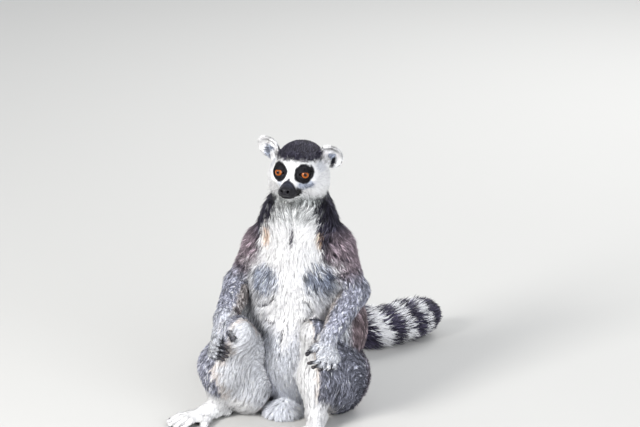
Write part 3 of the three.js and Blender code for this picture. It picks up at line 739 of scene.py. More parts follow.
def surface_net(field, low, high):
    """Vertices and quads of the field's surface."""
    cells, step = cells_near(field, low, high)
    value, corner = corner_values(field, cells, low, step)
    signs = value[corner] < 0
    crossed = signs.any(1) & ~signs.all(1)
    cells, corner = cells[crossed], corner[crossed]
    vertices = through_lenses(low + (cells + middles_of_cuts(value, corner)) * step)
    order = np.argsort(keyed(cells))
    keys = keyed(cells)[order]
    quads = []
    for axis in range(3):
        inside = value[corner[:, 0]] < 0
        edge = inside != (value[corner[:, 1 << axis]] < 0)
        u, v = np.eye(3, dtype=int)[[(axis + 1) % 3, (axis + 2) % 3]]
        base = cells[edge]
        ring = np.stack([order[np.searchsorted(keys, keyed(base - du * u - dv * v))]
                         for du, dv in ((0, 0), (1, 0), (1, 1), (0, 1))], 1)
        out = inside[edge]
        ring[~out] = ring[~out][:, ::-1]
        quads.append(ring)
    return vertices, np.concatenate(quads)


# Four places around a point, whose values give a field's slope there
TAPS = np.array([(1, 1, 1), (1, -1, -1), (-1, 1, -1), (-1, -1, 1)], float)


def slope(field, p, reach=0.25):
    return sum(tap * field(p + tap * reach)[:, None] for tap in TAPS) / (4 * reach)


def settled(field, p, steps=2, most=0.3):
    """The points moved onto the field's surface, by no more than most at a step."""
    for _ in range(steps):
        g = slope(field, p)
        move = g * (field(p) / np.maximum((g ** 2).sum(1), 0.5))[:, None]
        length = np.linalg.norm(move, axis=1, keepdims=True)
        p = p - move * np.minimum(1, most / np.maximum(length, 1e-9))
    return p


def mesh_object(name, vertices, faces):
    """A smooth-shaded Blender object from millimetres."""
    mesh = bpy.data.meshes.new(name)
    faces = np.asarray(faces)
    mesh.vertices.add(len(vertices))
    mesh.vertices.foreach_set("co", (np.asarray(vertices) * METRE).astype(np.float32).ravel())
    mesh.loops.add(faces.size)
    mesh.loops.foreach_set("vertex_index", faces.astype(np.int32).ravel())
    mesh.polygons.add(len(faces))
    mesh.polygons.foreach_set("loop_start", np.arange(0, faces.size, faces.shape[1], dtype=np.int32))
    mesh.polygons.foreach_set("use_smooth", np.ones(len(faces), bool))
    mesh.update(calc_edges=True)
    made = bpy.data.objects.new(name, mesh)
    bpy.context.scene.collection.objects.link(made)
    return made


def joined(name, shells):
    """One object of several closed shells, each given by its vertices and faces."""
    starts = np.cumsum([0, *[len(points) for points, _ in shells]])
    faces = [faces + start for (_, faces), start in zip(shells, starts)]
    return mesh_object(name, np.concatenate([points for points, _ in shells]), np.concatenate(faces))


def paint(piece, name, values):
    """A colour, or a number, for each vertex."""
    values = np.asarray(values, np.float32)
    if values.ndim == 1:
        layer = piece.data.attributes.new(name, "FLOAT", "POINT")
        layer.data.foreach_set("value", values)
        return
    layer = piece.data.attributes.new(name, "FLOAT_COLOR", "POINT")
    with_alpha = np.column_stack([values, np.ones(len(values))])
    layer.data.foreach_set("color", with_alpha.astype(np.float32).ravel())


# ---- body parts: where each one is and which way its coat lies ----


CHAIN_SOFTNESS = 9.0  # millimetres over which one length of a chain gives way to the next


def chain_place(points):
    """For each body point: the way along the chain there, how far along it is, and its distance."""
    points = np.asarray(points, float)
    runs = np.concatenate([[0], np.cumsum(np.linalg.norm(np.diff(points, axis=0), axis=1))])

    def place(p):
        way, along, weight = np.zeros(p.shape), np.zeros(len(p)), np.zeros(len(p))
        nearest = np.full(len(p), np.inf)
        for a, b, start, end in zip(points, points[1:], runs, runs[1:]):
            t = np.clip((p - a) @ (b - a) / ((b - a) @ (b - a)), 0, 1)
            distance = np.linalg.norm(p - a - t[:, None] * (b - a), axis=1)
            share = np.exp(-distance / CHAIN_SOFTNESS)
            way += share[:, None] * unit(b - a)
            along += share * mix(start, end, t)
            weight += share
            nearest = np.minimum(nearest, distance)
        return unit(way), along / weight, nearest
    return place, runs


NOSE_TIP = vec(0, -66, -10)  # in the head's frame
TAIL_STRIDE = 4  # the tail's way is taken from so far behind a place to so far ahead


def head_way(p):
    """Back from the nose, down over the cheeks, up over the brow."""
    q = to_head(p)
    way = unit(q - NOSE_TIP)
    low = ramp(q[:, 2], 6, -16) * ramp(np.abs(q[:, 0]), 8, 24)
    way = way + low[:, None] * (0, 0.1, -0.75)
    return way @ HEAD_AXES.T


def trunk_way(p):
    """Down the body; inwards over the throat to the whorl on the breast, and outwards below it."""
    x, y, z = p.T
    front = ramp(y, 12, -12)
    inward = ramp(z, 250, 276) * 1.5 - ramp(z, 252, 226) * ramp(z, 120, 190) * 0.7
    off = x - 1.5 - 7 * np.sin(z / 13) * ramp(z, 250, 225)
    aside = -np.clip(off / mix(60, 24, ramp(z, 240, 262)), -1, 1) * inward * front
    return unit(np.column_stack([aside, 0 * x, -np.ones(len(x))]))


def ear_way(side):
    """Up the ear, spreading to both sides like a fan."""
    def way(p):
        e = ear_point(side, p)
        fan = np.column_stack([e[:, 0] / ear_size(side)[1] * 1.3, np.zeros(len(e)), np.ones(len(e))])
        return unit(fan) @ ear_frame(side).T @ HEAD_AXES.T
    return way


def ear_reach(side, e):
    """0 in the middle of the ear's cup, 1 on its rim."""
    width, half = ear_size(side)
    return np.hypot(e[:, 0] / width, e[:, 2] / half)


def facing_out(side, n):
    """How squarely the skin faces the way the ear's cup opens."""
    return (n @ HEAD_AXES @ ear_frame(side))[:, 1]


def arm_chain(side):
    arm = ARMS[side]
    return [arm["shoulder"] + (0, 0, 12), arm["elbow"], arm["wrist"], mix(*HANDS[side]["knuckles"], 0.5)]


def leg_chain(side):
    leg = LEGS[side]
    return [HIP * (SIDES[side], 1, 1) + (0, 20, 0), leg["knee"], leg["calf"], leg["ankle"],
            foot_frame(side)[2], toe_points(side)[1][2]]


def limb_way(chain):
    place, _ = chain_place(chain)
    return lambda p: place(p)[0]


LIMB_SHARE, DIGIT_REACH = 0.02, 2.5  # of the limb's own way, and how far from a digit its way holds


def digit_way(digits, chain):
    """Along the nearest digit, or the limb where none is near."""
    place, _ = chain_place(chain)
    lines = [chain_place(d)[0] for d in digits]

    def way(p):
        total = place(p)[0] * LIMB_SHARE
        for line in lines:
            way_along, _, distance = line(p)
            total += way_along * np.exp(-distance / DIGIT_REACH)[:, None]
        return unit(total)
    return way


def tail_way(p):
    along = tail_place(p)[1]
    return unit(tail_point(along + TAIL_STRIDE) - tail_point(along - TAIL_STRIDE))


SIDED_PARTS = ("ear", "arm", "hand", "leg", "foot")
PARTS = ["trunk", "head", *[f"{part}_{side}" for part in SIDED_PARTS for side in SIDES], "tail"]


def for_parts(trunk, head, tail, **sided):
    """Something for each of PARTS. That of a sided part is made from the side's name."""
    return {"trunk": trunk, "head": head, "tail": tail,
            **{f"{part}_{side}": make(side) for part, make in sided.items() for side in SIDES}}


FIELDS = for_parts(lambda p: np.minimum(trunk(p), groin(p)), head, tail,
                   ear=ears.get, arm=arms.get, hand=hands.get, leg=legs.get, foot=feet.get)
WAYS = for_parts(trunk_way, head_way, tail_way, ear=ear_way,
                 arm=lambda side: limb_way(arm_chain(side)),
                 hand=lambda side: digit_way(digit_points(side), arm_chain(side)),
                 leg=lambda side: limb_way(leg_chain(side)),
                 foot=lambda side: digit_way(toe_points(side), leg_chain(side)))
PART_SOFTNESS = 4.0  # millimetres over which one part gives way to the next


def part_weights(p):
    """How much each part has to say at each point, in the order of PARTS."""
    distance = np.stack([FIELDS[name](p) for name in PARTS], 1)
    distance -= distance.min(1, keepdims=True)
    weight = np.exp(-distance / PART_SOFTNESS)
    return weight / weight.sum(1, keepdims=True)


# ---- markings ----
WHITE = vec(0.88, 0.875, 0.89)
CREAM = vec(0.70, 0.62, 0.57)
PALE_GREY = vec(0.64, 0.66, 0.72)
BLUE_GREY = vec(0.25, 0.285, 0.38)
GREY = vec(0.36, 0.37, 0.455)
BROWN = vec(0.295, 0.235, 0.27)
CHARCOAL = vec(0.024, 0.021, 0.035)
BLACK = vec(0.0075, 0.007, 0.010)
DULL_BLACK = vec(0.022, 0.023, 0.035)  # of the bridge of the nose
# painted shade under the chin and on the throat, with a greenish painted reflection
CHIN_SHADE = vec(0.52, 0.55, 0.54)
THROAT_SHADE = vec(0.50, 0.515, 0.52)
TAN = vec(0.70, 0.40, 0.22)


def wobble(p, size, phase=0.0):
    """A smooth uneven number from -1 to 1 that changes over about size millimetres."""
    a, b, c = (p / size + phase).T
    return (np.sin(a * 2.1 + 1.7 * np.sin(b * 1.3 + phase)) + np.sin(b * 2.3 + 1.4 * np.sin(c * 1.7))
            + np.sin(c * 1.9 + 1.6 * np.sin(a * 1.1 + 2))) / 3


def blend(under, over, share):
    """One colour laid over another, with a share for each point."""
    return under + (over - under) * share[:, None]


def spot(p, middle, size):
    """1 in the middle of an oval, falling to 0 at its edge."""
    r = np.linalg.norm((p - middle) / size, axis=1)
    return ramp(r, 1.25, 0.7)


def spotted(colour, p, spots, strength=1.0):
    """The colour with soft ovals laid over it. Each has a tone, a share, a middle and a size."""
    for tone, share, middle, size in spots:
        colour = blend(colour, tone, share * strength * spot(p, middle, size))
    return colour


def flat(colour, p):
    return np.repeat(colour[None], len(p), 0)


def last_joint(along, runs):
    """1 on the last 8 mm of a digit, 0 further back."""
    return ramp(along, runs[-1] - 12, runs[-1] - 8)


def shaded_in_creases(colour, p):
    """Painted shade: dark in the depth of the creases."""
    return blend(colour, CHARCOAL * 1.6, 0.9 * ramp(fold_distance(p) + 0.5 * wobble(p, 3.0), 3.2, 1.2))


MUZZLE_SHADOWS = [  # painted shadow beside the muzzle, bluish; the one on its left, the side away from the light, is larger
    (BLUE_GREY * 1.2, 0.85, vec(21, -36, -7), vec(11, 17, 7)),
    (BLUE_GREY * 1.2, 0.5, vec(-15, -38, -6), vec(5, 16, 5)),
]


def eye_patch(m, jag):
    """1 on the black around an eye: an oval, cut in a little on its lower inner side."""
    tilt = (m - EYE) * (1, 0, 1)
    u, v = tilt[:, 0] + 0.8, tilt[:, 2] - 0.8
    cut = np.maximum(-(u * 0.55 + v) / 12 - 0.55, 0) * ramp(u, 4, -8)
    r = np.hypot(u / 12.0, v / 13.4) + 0.25 * cut
    return ramp(r + 0.04 * jag, 1.06, 0.94) * ramp(m[:, 1], -8, -16)


def muzzle_patch(q, jag):
    """1 on the black of the muzzle, which widens downwards from the bridge of the nose."""
    x, y, z = q.T
    half = np.interp(2 - z, [0, 3, 12, 20], [1.5, 6.0, 13.0, 19.0])
    back = np.interp(z, [-20, -8], [-33, -37])
    level = ramp(np.abs(x) - half + 0.6 * jag, 1.0, -1.0) * ramp(y - back, 1, -4)
    return level * ramp(z, -23.5, -21) * ramp(z, 4.5, 2)


def head_colour(p, n):
    """White with a charcoal cap, black eye patches and muzzle, painted shadow beside the muzzle and painted
    shade under the chin.
    """
    q = to_head(p)
    x, y, z = q.T
    m = mirrored(q)
    jag = wobble(p, 3.1)
    c = flat(WHITE, p)
    # painted shade under the jaw and chin
    c = blend(c, CHIN_SHADE, ramp(z, -20, -34))
    # painted shadow beside the muzzle
    c = spotted(c, q, MUZZLE_SHADOWS)
    c = blend(c, PALE_GREY, 0.6 * spot(m, vec(33, -8, 14), vec(6, 12, 9)))
    edge = 24.0 - 0.0045 * x * x - 0.25 * np.maximum(y + 5, 0) + 2.2 * jag
    cap = ramp(z, edge - 2.0, edge + 3.0)
    cap = np.maximum(cap, ramp(y + 2 * jag, 20, 29))
    c = blend(c, CHARCOAL * 1.25, cap)
    c = blend(c, BLACK, eye_patch(m, jag))
    muzzle = muzzle_patch(q, jag)
    lip = ramp(y, -31, -35) * ramp(np.abs(z - mouth_height(q)), 3.0, 1.6)
    c = blend(c, BLACK, np.clip(muzzle + lip, 0, 1))
    c = blend(c, DULL_BLACK, muzzle * ramp(z, -9, -3) * ramp(y, -64, -56))
    streak = 4.0 * wobble(p * (0.6, 1, 1), 3.0)
    return blend(c, CHARCOAL, ramp(z + 0.5 * streak, -27, -33) * ramp(np.abs(x) + streak, 27, 32))


SLITS = {"right": 0.3, "left": 1.0}  # how black the slit at the foot of each ear shows: painted shade in the ear's opening, strongest on the left ear, away from the light
HOLLOWS = {  # middle and size of each ear's grey hollow, as shares of the cup
    "right": ((-0.35, -0.25), (0.7, 0.7)),
    "left": ((-0.1, -0.05), (0.34, 0.6)),
}


def ear_colour(side):
    """White, with a grey hollow and a black slit of painted shade at the foot of it; dark where the ear
    meets the cap.
    """
    def colour(p, n):
        e = ear_point(side, p)
        q = to_head(p)
        width, half = ear_size(side)
        across, up = e[:, 0] * SIDES[side] / width, e[:, 2] / half
        inside = ramp(facing_out(side, n), 0.0, 0.4) * ramp(e[:, 1], 3, 0)
        middle, reach = HOLLOWS[side]
        away = np.hypot((across - middle[0]) / reach[0], (up - middle[1]) / reach[1])
        hollow = ramp(away + 0.15 * wobble(p, 2.5), 1.15, 0.75)
        c = blend(flat(WHITE, p), BLUE_GREY * 1.1, 0.9 * inside * hollow)
        slit = ramp(np.hypot((across + 0.5 - 0.2 * up) / 0.34, (up + 0.4) / 0.75), 1.2, 0.7)
        # the slit: painted shade at the foot of the hollow
        c = blend(c, BLACK * 2, inside * slit * SLITS[side])
        return blend(c, CHARCOAL * 1.25, ramp(np.abs(q[:, 0]), 33, 29) * ramp(q[:, 2], 19, 25))
    return colour


BREAST_PATCHES = [  # grey, one on each side of the breast; the left one is darker as painted shade, on the side away from the light
    (BLUE_GREY * 1.1, 0.9, vec(-36, -42, 197), vec(22, 26, 23)),
    (BLUE_GREY * 0.85, 1.0, vec(41, -44, 201), vec(24, 26, 27)),
]
THROAT_STAINS = [  # tan, where the white of the throat meets the dark neck
    (TAN, 0.9, vec(37, -38, 258), vec(7, 18, 17)),
    (TAN * 1.2, 0.6, vec(-36, -36, 258), vec(7, 18, 17)),
]
COLLAR_HEIGHTS = [233, 255, 270, 284, 302]
COLLAR_RIGHT = [45, 43, 37, 28, 20]  # how far to the side the white of the throat reaches at these heights
COLLAR_LEFT = [38, 37, 34, 29, 25]


def trunk_colour(p, n):
    """Brown and grey behind, dark around the neck; white in front with grey patches and a dark parting."""
    x, y, z = p.T
    jag = wobble(p, 6.0)
    side = np.abs(x - 1)
    back = blend(flat(BROWN * 0.9, p), GREY * 0.8, ramp(z, 150, 60) * ramp(y, 30, 60))
    # darker, warmer brown on the left flank below the arm: the flank's own brown with painted shade
    back = blend(back, BROWN * (0.8, 0.77, 0.73), ramp(z, 186, 165) * ramp(x, 52, 66) * ramp(y, 50, 30))
    inner = ramp(side + 3 * jag, 60, 44) * ramp(z + 3 * jag, 210, 226) * ramp(y, 22, 8)
    back = blend(back, CHARCOAL, np.maximum(ramp(z + 6 * jag, 236, 268), inner))
    front = blend(flat(PALE_GREY, p), WHITE, ramp(z + 5 * jag, 112, 150))
    front = blend(front, PALE_GREY * 1.15, ramp(z, 70, 44))
    front = blend(front, WHITE, 0.85 * ramp(np.abs(x + 4 - 3 * jag), 11, 3) * ramp(z, 95, 120))
    broken = 0.85 + 0.3 * wobble(p, 9.0, 1.3)
    flank = 0.75 * broken * ramp(side, 26, 42) * ramp(z, 218, 200) * ramp(z, 60, 90)
    front = blend(front, PALE_GREY * 0.72, flank)
    # grey breast patches; the left one's darker tone is painted shade
    front = spotted(front, p, BREAST_PATCHES, broken)
    front = spotted(front, p, THROAT_STAINS)
    # painted shade on the throat, under the chin
    front = blend(front, THROAT_SHADE, 0.8 * ramp(z, 266, 290))
    parting = ramp(np.abs(x - 1.5 - 0.08 * (z - 262)), 3.2, 1.2)
    front = blend(front, CHARCOAL * 2, 0.9 * (parting * spot(p, vec(1.5, -46, 261), vec(9, 16, 15))))
    # painted shade in the depth of the creases
    front = shaded_in_creases(front, p)
    belly = ramp(-n[:, 1] + 0.18 * jag, 0.1, 0.38) * (1 - ramp(x, 70, 80))
    belly = np.maximum(belly, ramp(y, -6, -20) * ramp(z, 190, 172))
    belly = np.maximum(belly, spot(p, vec(-12, -44, 8), vec(36, 34, 34)))
    edge = np.where(x < 0, *[np.interp(z, COLLAR_HEIGHTS, reach) for reach in (COLLAR_RIGHT, COLLAR_LEFT)])
    streaks = 9.0 * wobble(np.column_stack([0.25 * x, y, z + 0.7 * np.abs(x)]), 3.0)
    neck = ramp(np.abs(x) + streaks, edge + 4, edge - 3) * ramp(y, 14, 4)
    return blend(back, front, mix(belly, neck, ramp(z, 212, 232)))


def arm_colour(side):
    """Dark at the shoulder, brown, then grey and paler towards the wrist; cream on the inside."""
    place, runs = chain_place(arm_chain(side))
    inward = unit(vec(-SIDES[side], -0.25, 0.05))

    def colour(p, n):
        along = place(p)[1]
        z = p[:, 2]
        jag = wobble(p, 5.0)
        armpit = ramp(n @ inward + 0.1 * jag, 0.25, 0.5) * ramp(z, 206, 222)
        c = blend(flat(BROWN, p), CHARCOAL, np.maximum(ramp(z + 4 * jag, 250, 270), armpit))
        c = blend(c, GREY * 0.85, ramp(along + 5 * jag, 44, 78))
        c = blend(c, GREY * 1.05, ramp(along, runs[1] - 10, runs[1] + 16))
        c = blend(c, GREY * 1.3, ramp(along, runs[1] + 40, runs[2] - 6))
        inner = ramp(n @ inward + 0.12 * jag, 0.5, 0.8) * ramp(along, runs[1] - 18, runs[1] + 8)
        # cream on the inside, and painted shade in the depth of the creases
        c = shaded_in_creases(blend(c, CREAM * 0.8, 0.8 * inner), p)
        spur = unit(ARMS[side]["elbow"] - ARMS[side]["wrist"]) * 17 + ARMS[side]["wrist"] + inward * 13
        return blend(c, BROWN * 0.4, 0.9 * spot(p, spur, vec(7, 7, 8)))
    return colour


def hand_colour(side):
    """Pale on the back; palm, the digits' undersides and their ends are black."""
    digits = [chain_place(d) for d in digit_points(side)]
    palm = unit(PALM_SIDE[side])

    def colour(p, n):
        c = flat(PALE_GREY * 0.9, p)
        for line, runs in digits:
            _, along, away = line(p)
            under = ramp(n @ palm, -0.45, -0.05) * ramp(along, 3, 8)
            c = blend(c, BLACK * 2, np.maximum(under, last_joint(along, runs)) * ramp(away, 7, 5))
        return blend(c, BLACK * 2, ramp(n @ palm, 0.35, 0.6))
    return colour


# For each leg the way its pale inside faces, the shin's colour, how light the grey is, and how squarely
# the skin has to face that way to turn pale
# The grey is lighter on the right leg as painted light, and darker on the left leg as painted shade, on the
# side away from the light.
LEG_TONES = {
    "right": (unit(vec(0.75, -0.6, 0.2)), mix(PALE_GREY, WHITE, 0.4), 1.2, 0.3),
    "left": (unit(vec(-0.85, -0.45, 0.1)), WHITE, 0.72, 0.12),
}


def leg_colour(side):
    """Grey outside, cream to white inside, and white at the ankle."""
    place, runs = chain_place(leg_chain(side))
    inner, shin, tone, edge = LEG_TONES[side]

    def colour(p, n):
        along = place(p)[1]
        jag = wobble(p, 6.0)
        # the leg's grey, with its side's painted light and shade
        c = flat(GREY * tone, p)
        c = blend(c, BROWN * 1.2, 0.5 * ramp(along, 45, 10))
        low = ramp(along, runs[1] - 70, runs[1] - 30)
        face = n @ inner + 0.1 * jag
        c = blend(c, mix(CREAM * 1.1, shin, 0.25), ramp(face, edge, edge + 0.2) * low)
        c = blend(c, shin, ramp(face, edge + 0.2, edge + 0.42) * low)
        return blend(c, WHITE, ramp(along, runs[3] - 18, runs[3] - 2))
    return colour


def foot_colour(p, n):
    return blend(flat(WHITE, p), BLACK * 3, ramp(n[:, 2], -0.35, -0.6))


RING_PITCH = 37.0  # from one white ring to the next
RING_PHASE = 27.0  # of the middle of the last white ring, from the tail's end
RING_SLANT = 0.4  # how far the coat on top of the tail is drawn back, for its height
TAIL_END = TAIL_LENGTH + 15  # of the coat's tips


def tail_colour(p, n):
    """Rings counted from the tail's black end; the root is grey."""
    along = tail_place(p)[1]
    beyond = (p - TAIL_LINE[-1]) @ unit(TAIL_LINE[-1] - TAIL_LINE[-4])
    along = np.where(along > TAIL_LENGTH - 1, TAIL_LENGTH + np.maximum(beyond, 0), along)
    from_end = TAIL_END - along - RING_SLANT * (p[:, 2] - TAIL_LIE) + 2.5 * wobble(p, 8.0)
    phase = np.maximum((from_end - RING_PHASE) / RING_PITCH, -0.5)
    white = ramp(np.cos(2 * np.pi * phase), 0.25, 0.65)
    c = blend(flat(CHARCOAL * 2.0, p), mix(WHITE, PALE_GREY, 0.2), white)
    return blend(c, GREY, ramp(along, 62, 34))


COLOURS = for_parts(trunk_colour, head_colour, tail_colour, ear=ear_colour, arm=arm_colour,
                    hand=hand_colour, leg=leg_colour, foot=lambda side: foot_colour)


LEAST_WEIGHT = 0.02  # a part that weighs less isn't asked


def by_part(p, weight, functions, *more):
    """The parts' own answers, mixed by their weights."""
    total = np.zeros((len(p), 3))
    for i, name in enumerate(PARTS):
        near = weight[:, i] > LEAST_WEIGHT
        if near.any():
            total[near] += weight[near, i, None] * functions[name](p[near], *[m[near] for m in more])
    return total / np.where(weight > LEAST_WEIGHT, weight, 0).sum(1)[:, None]


# ---- skin ----
SKIN_LOW, SKIN_HIGH = vec(-190, -200, -8), vec(160, 370, 415)
skin_points, skin_quads = surface_net(whole_field, SKIN_LOW, SKIN_HIGH)
skin_points = settled(whole_field, skin_points)
skin_normals = unit(slope(whole_field, skin_points, 0.6))
skin_weights = part_weights(skin_points)
skin = mesh_object("skin", skin_points, skin_quads)
paint(skin, "marking", by_part(skin_points, skin_weights, COLOURS, skin_normals))

# ---- coat: solid tufts, rooted on the skin and lying along it ----
RANDOM = np.random.default_rng(7)
ROOT_SINK = 0.5
LEAST_HEIGHT = 0.3  # of a tuft's corner over the floor
PATCH = 0.003  # each tuft's share of its map's side
SWAY = 0.12  # how far tufts bend to a side
RISE_START, RISE_END = 1.35, 0.45  # a tuft's steepness at its root and its tip, as shares of its lift
RING_WIDTHS, RING_HEIGHT = (1.0, 0.7), 0.4  # shares of a tuft's width
SKIN_SHARE, TUFT_SHARE = 0.9, 0.55  # of the skin's normal and of the tuft's own in the shading
ROOT_SHADE, TIP_SHADE = (0.34, 0.84), 1.05  # painted shade deep in the coat, with the grey hair's own darker roots: dark hair is darker at its root than white hair
STRAY = 0.09  # of each tuft from its lock
# Random shares of a tuft's width, length and lift, and of its lock's lift
WIDTHS, LENGTH_SPREAD, LIFTS, LOCK_LIFTS = (0.75, 1.25), (0.78, 1.1), (0.7, 1.3), (0.75, 1.25)
SEEN_AT = (0.15, 0.7)  # where along a tuft its colour is taken
MOST_LIGHT = 0.92


def skin_triangles():
    """Corner numbers, areas and middles of the skin's triangles."""
    corners = np.concatenate([skin_quads[:, [0, 1, 2]], skin_quads[:, [0, 2, 3]]])
    a, b, c = (skin_points[corners[:, i]] for i in range(3))
    area = np.linalg.norm(np.cross(b - a, c - a), axis=1) / 2
    return corners, area, (a + b + c) / 3


def short_in_folds(long, p, least):
    """Hair in the depth of a crease has only this share of its length."""
    return long * mix(least, 1, ramp(fold_distance(p), 1.0, 4.5))


def arm_lengths(side):
    place, runs = chain_place(arm_chain(side))
    stops = [0, runs[1], runs[2] - 12, runs[2] + 8, runs[3], runs[3] + 20]

    return lambda p: short_in_folds(np.interp(place(p)[1], stops, [14, 10, 9, 7, 4.5, 2.6]), p, 0.45)


def leg_lengths(side):
    place, runs = chain_place(leg_chain(side))
    stops = [0, runs[1], runs[2], runs[3] - 8, runs[3] + 8, runs[4], runs[5]]
    return lambda p: np.interp(place(p)[1], stops, [13, 10, 10, 11, 7, 4.5, 3])


def head_lengths(p):
    m = mirrored(to_head(p))
    long = mix(6.5, 10.5, spot(m, vec(30, 2, -12), vec(18, 24, 24)))
    from_eye = np.linalg.norm((m - EYE) / (13, 16, 14), axis=1)
    long = mix(2.2, long, ramp(from_eye, 0.75, 1.9))
    return mix(long, mix(1.6, 5.0, ramp(m[:, 2], -21, -25)), ramp(m[:, 1], -36, -46))


def trunk_lengths(p):
    return short_in_folds(np.interp(p[:, 2], [0, 40, 150, 230, 300], [15, 13, 13, 17, 18]), p, 0.4)


def tail_lengths(p):
    return np.interp(tail_place(p)[1], [0, 60, 120, TAIL_LENGTH - 30, TAIL_LENGTH], [20, 26, 29, 25, 15])


def ear_lengths(side):
    def lengths(p):
        e = ear_point(side, p)
        tip = ramp(e[:, 2] / ear_size(side)[1], 0.55, 1.0)
        return mix(5.5, 5.0, ramp(ear_reach(side, e), 0.5, 1.0)) + 0.5 * tip
    return lengths


LENGTHS = for_parts(trunk_lengths, head_lengths, tail_lengths, ear=ear_lengths, arm=arm_lengths,
                    hand=arm_lengths, leg=leg_lengths, foot=leg_lengths)


def bare_share(p, n, weight):
    """1 where the skin has no coat: nose, lids, the digits' ends and the undersides of hands and feet."""
    bare = np.zeros(len(p))
    column = {name: weight[:, i] for i, name in enumerate(PARTS)}
    q = to_head(p)
    nose = ramp(q[:, 1], -53, -57) * ramp(q[:, 2], -22, -19)
    rims = np.minimum(lid_opening(RIGHT)(q), lid_opening(LEFT)(q))
    bare = np.maximum(bare, column["head"] * np.maximum(nose, ramp(rims, 1.5, 0.9)))
    for side in SIDES:
        palm = ramp(n @ unit(PALM_SIDE[side]), 0.25, 0.5)
        ends = np.zeros(len(p))
        for line, runs in [chain_place(d) for d in digit_points(side)]:
            _, along, away = line(p)
            ends = np.maximum(ends, last_joint(along, runs) * ramp(away, 8, 6))
        bare = np.maximum(bare, column[f"hand_{side}"] * np.maximum(palm, ends))
        bare = np.maximum(bare, column[f"foot_{side}"] * ramp(n[:, 2], -0.3, -0.6))
        e = ear_point(side, p)
        hollow = ramp(ear_reach(side, e), 0.8, 0.5) * ramp(e[:, 1], 0, -2)
        bare = np.maximum(bare, column[f"ear_{side}"] * hollow * (facing_out(side, n) > 0.2) * 0.5)
    return bare


NEAR_LOCKS = 6
LOCK_STRETCH = 2.4  # of a lock's length to its width
LOCK_PULL = 0.6  # how far the tips of a lock draw together


def locks_of(roots, ways, per_lock):
    """Each tuft's lock, the way across to the lock's middle line, and 0 in its middle to 1 at its edge."""
    count = len(roots) // per_lock + NEAR_LOCKS
    middles = roots[RANDOM.choice(len(roots), count, replace=False)]
    tree = KDTree(count)
    for i, middle in enumerate(middles):
        tree.insert(middle, i)
    tree.balance()
    near = np.array([[found[1] for found in tree.find_n(root, NEAR_LOCKS)] for root in roots])
    offset = middles[near] - roots[:, None]
    along = (offset * ways[:, None]).sum(2)
    aside = offset - along[:, :, None] * ways[:, None]
    measure = np.hypot(np.linalg.norm(aside, axis=2), along / LOCK_STRETCH)
    order = measure.argsort(1)
    row = np.arange(len(roots))
    first, second = order[:, 0], order[:, 1]
    edge = measure[row, first] / np.maximum(measure[row, second], 1e-6)
    return near[row, first], aside[row, first], edge


def ticked(colours, lock, edge):
    """Grey hair is ticked light and dark, by hair and by lock, white hair hardly; at a lock's edge, where
    the locks part, the tufts get painted shade.
    """
    mean = colours.mean(1)
    uneven = mix(0.10, 0.6, ramp(mean, 0.78, 0.45))
    tipped = 0.06 * ramp(mean, 0.014, 0.026) * ramp(mean, 0.14, 0.06) * (RANDOM.random(len(colours)) < 0.3)
    colours = colours + tipped[:, None] * (1, 1, 1.25)
    each = RANDOM.normal(0, 1, len(colours))
    whole = RANDOM.normal(0, 1, lock.max() + 1)[lock]
    # painted shade on the tufts at a lock's edge, lighter on white hair
    shade = mix(1.08, mix(0.62, 0.88, ramp(colours.mean(1), 0.4, 0.8)), ramp(edge, 0.45, 1.0))
    return colours * (shade * np.exp((0.75 * each + 0.5 * whole) * uneven - 0.4 * uneven ** 2))[:, None]


def bent_spindles(roots, normals, ways, lengths, widths, lift, gather, rings):
    """Each spindle's corners from root to tip, and where each corner lies along and across it."""
    across = unit(np.cross(normals, ways))
    sideways = RANDOM.normal(0, SWAY, len(roots))[:, None]
    steps = [0.0, *rings, 1.0]
    place = roots - normals * ROOT_SINK
    rows, spans = [place[:, None]], [(0.0, 0.0)]
    for i, (start, end) in enumerate(zip(steps, steps[1:])):
        rise = lift * mix(RISE_START, RISE_END, i / (len(steps) - 2))
        level = unit(ways + across * sideways * (i + 0.5))
        heading = level * np.cos(rise)[:, None] + normals * np.sin(rise)[:, None]
        place = place + heading * (lengths * (end - start))[:, None] + gather * (end - start)
        if i < len(rings):
            width = (widths * RING_WIDTHS[i])[:, None]
            over = -unit(np.cross(across, heading))
            half = across * width / 2
            ring = [place - half, place + half, place + over * width * RING_HEIGHT]
            rows.append(np.stack(ring, 1))
            spans += [(end, -0.5), (end, 0.5), (end, 0.0)]
    vertices = np.concatenate([*rows, place[:, None]], 1)
    vertices[:, :, 2] = np.maximum(vertices[:, :, 2], LEAST_HEIGHT)
    return vertices, np.array([*spans, (1.0, 0.0)])


def spindle_faces(rings):
    """The triangles of one spindle: its root, three corners for each ring, and its tip."""
    faces = []
    last = 3 * (rings - 1)
    for k in range(3):
        a, b = 1 + k, 1 + (k + 1) % 3
        faces.append((0, b, a))
        for r in range(0, last, 3):
            faces += [(a + r, b + r, b + r + 3), (a + r, b + r + 3, a + r + 3)]
        faces.append((a + last, b + last, last + 4))
    return np.array(faces)


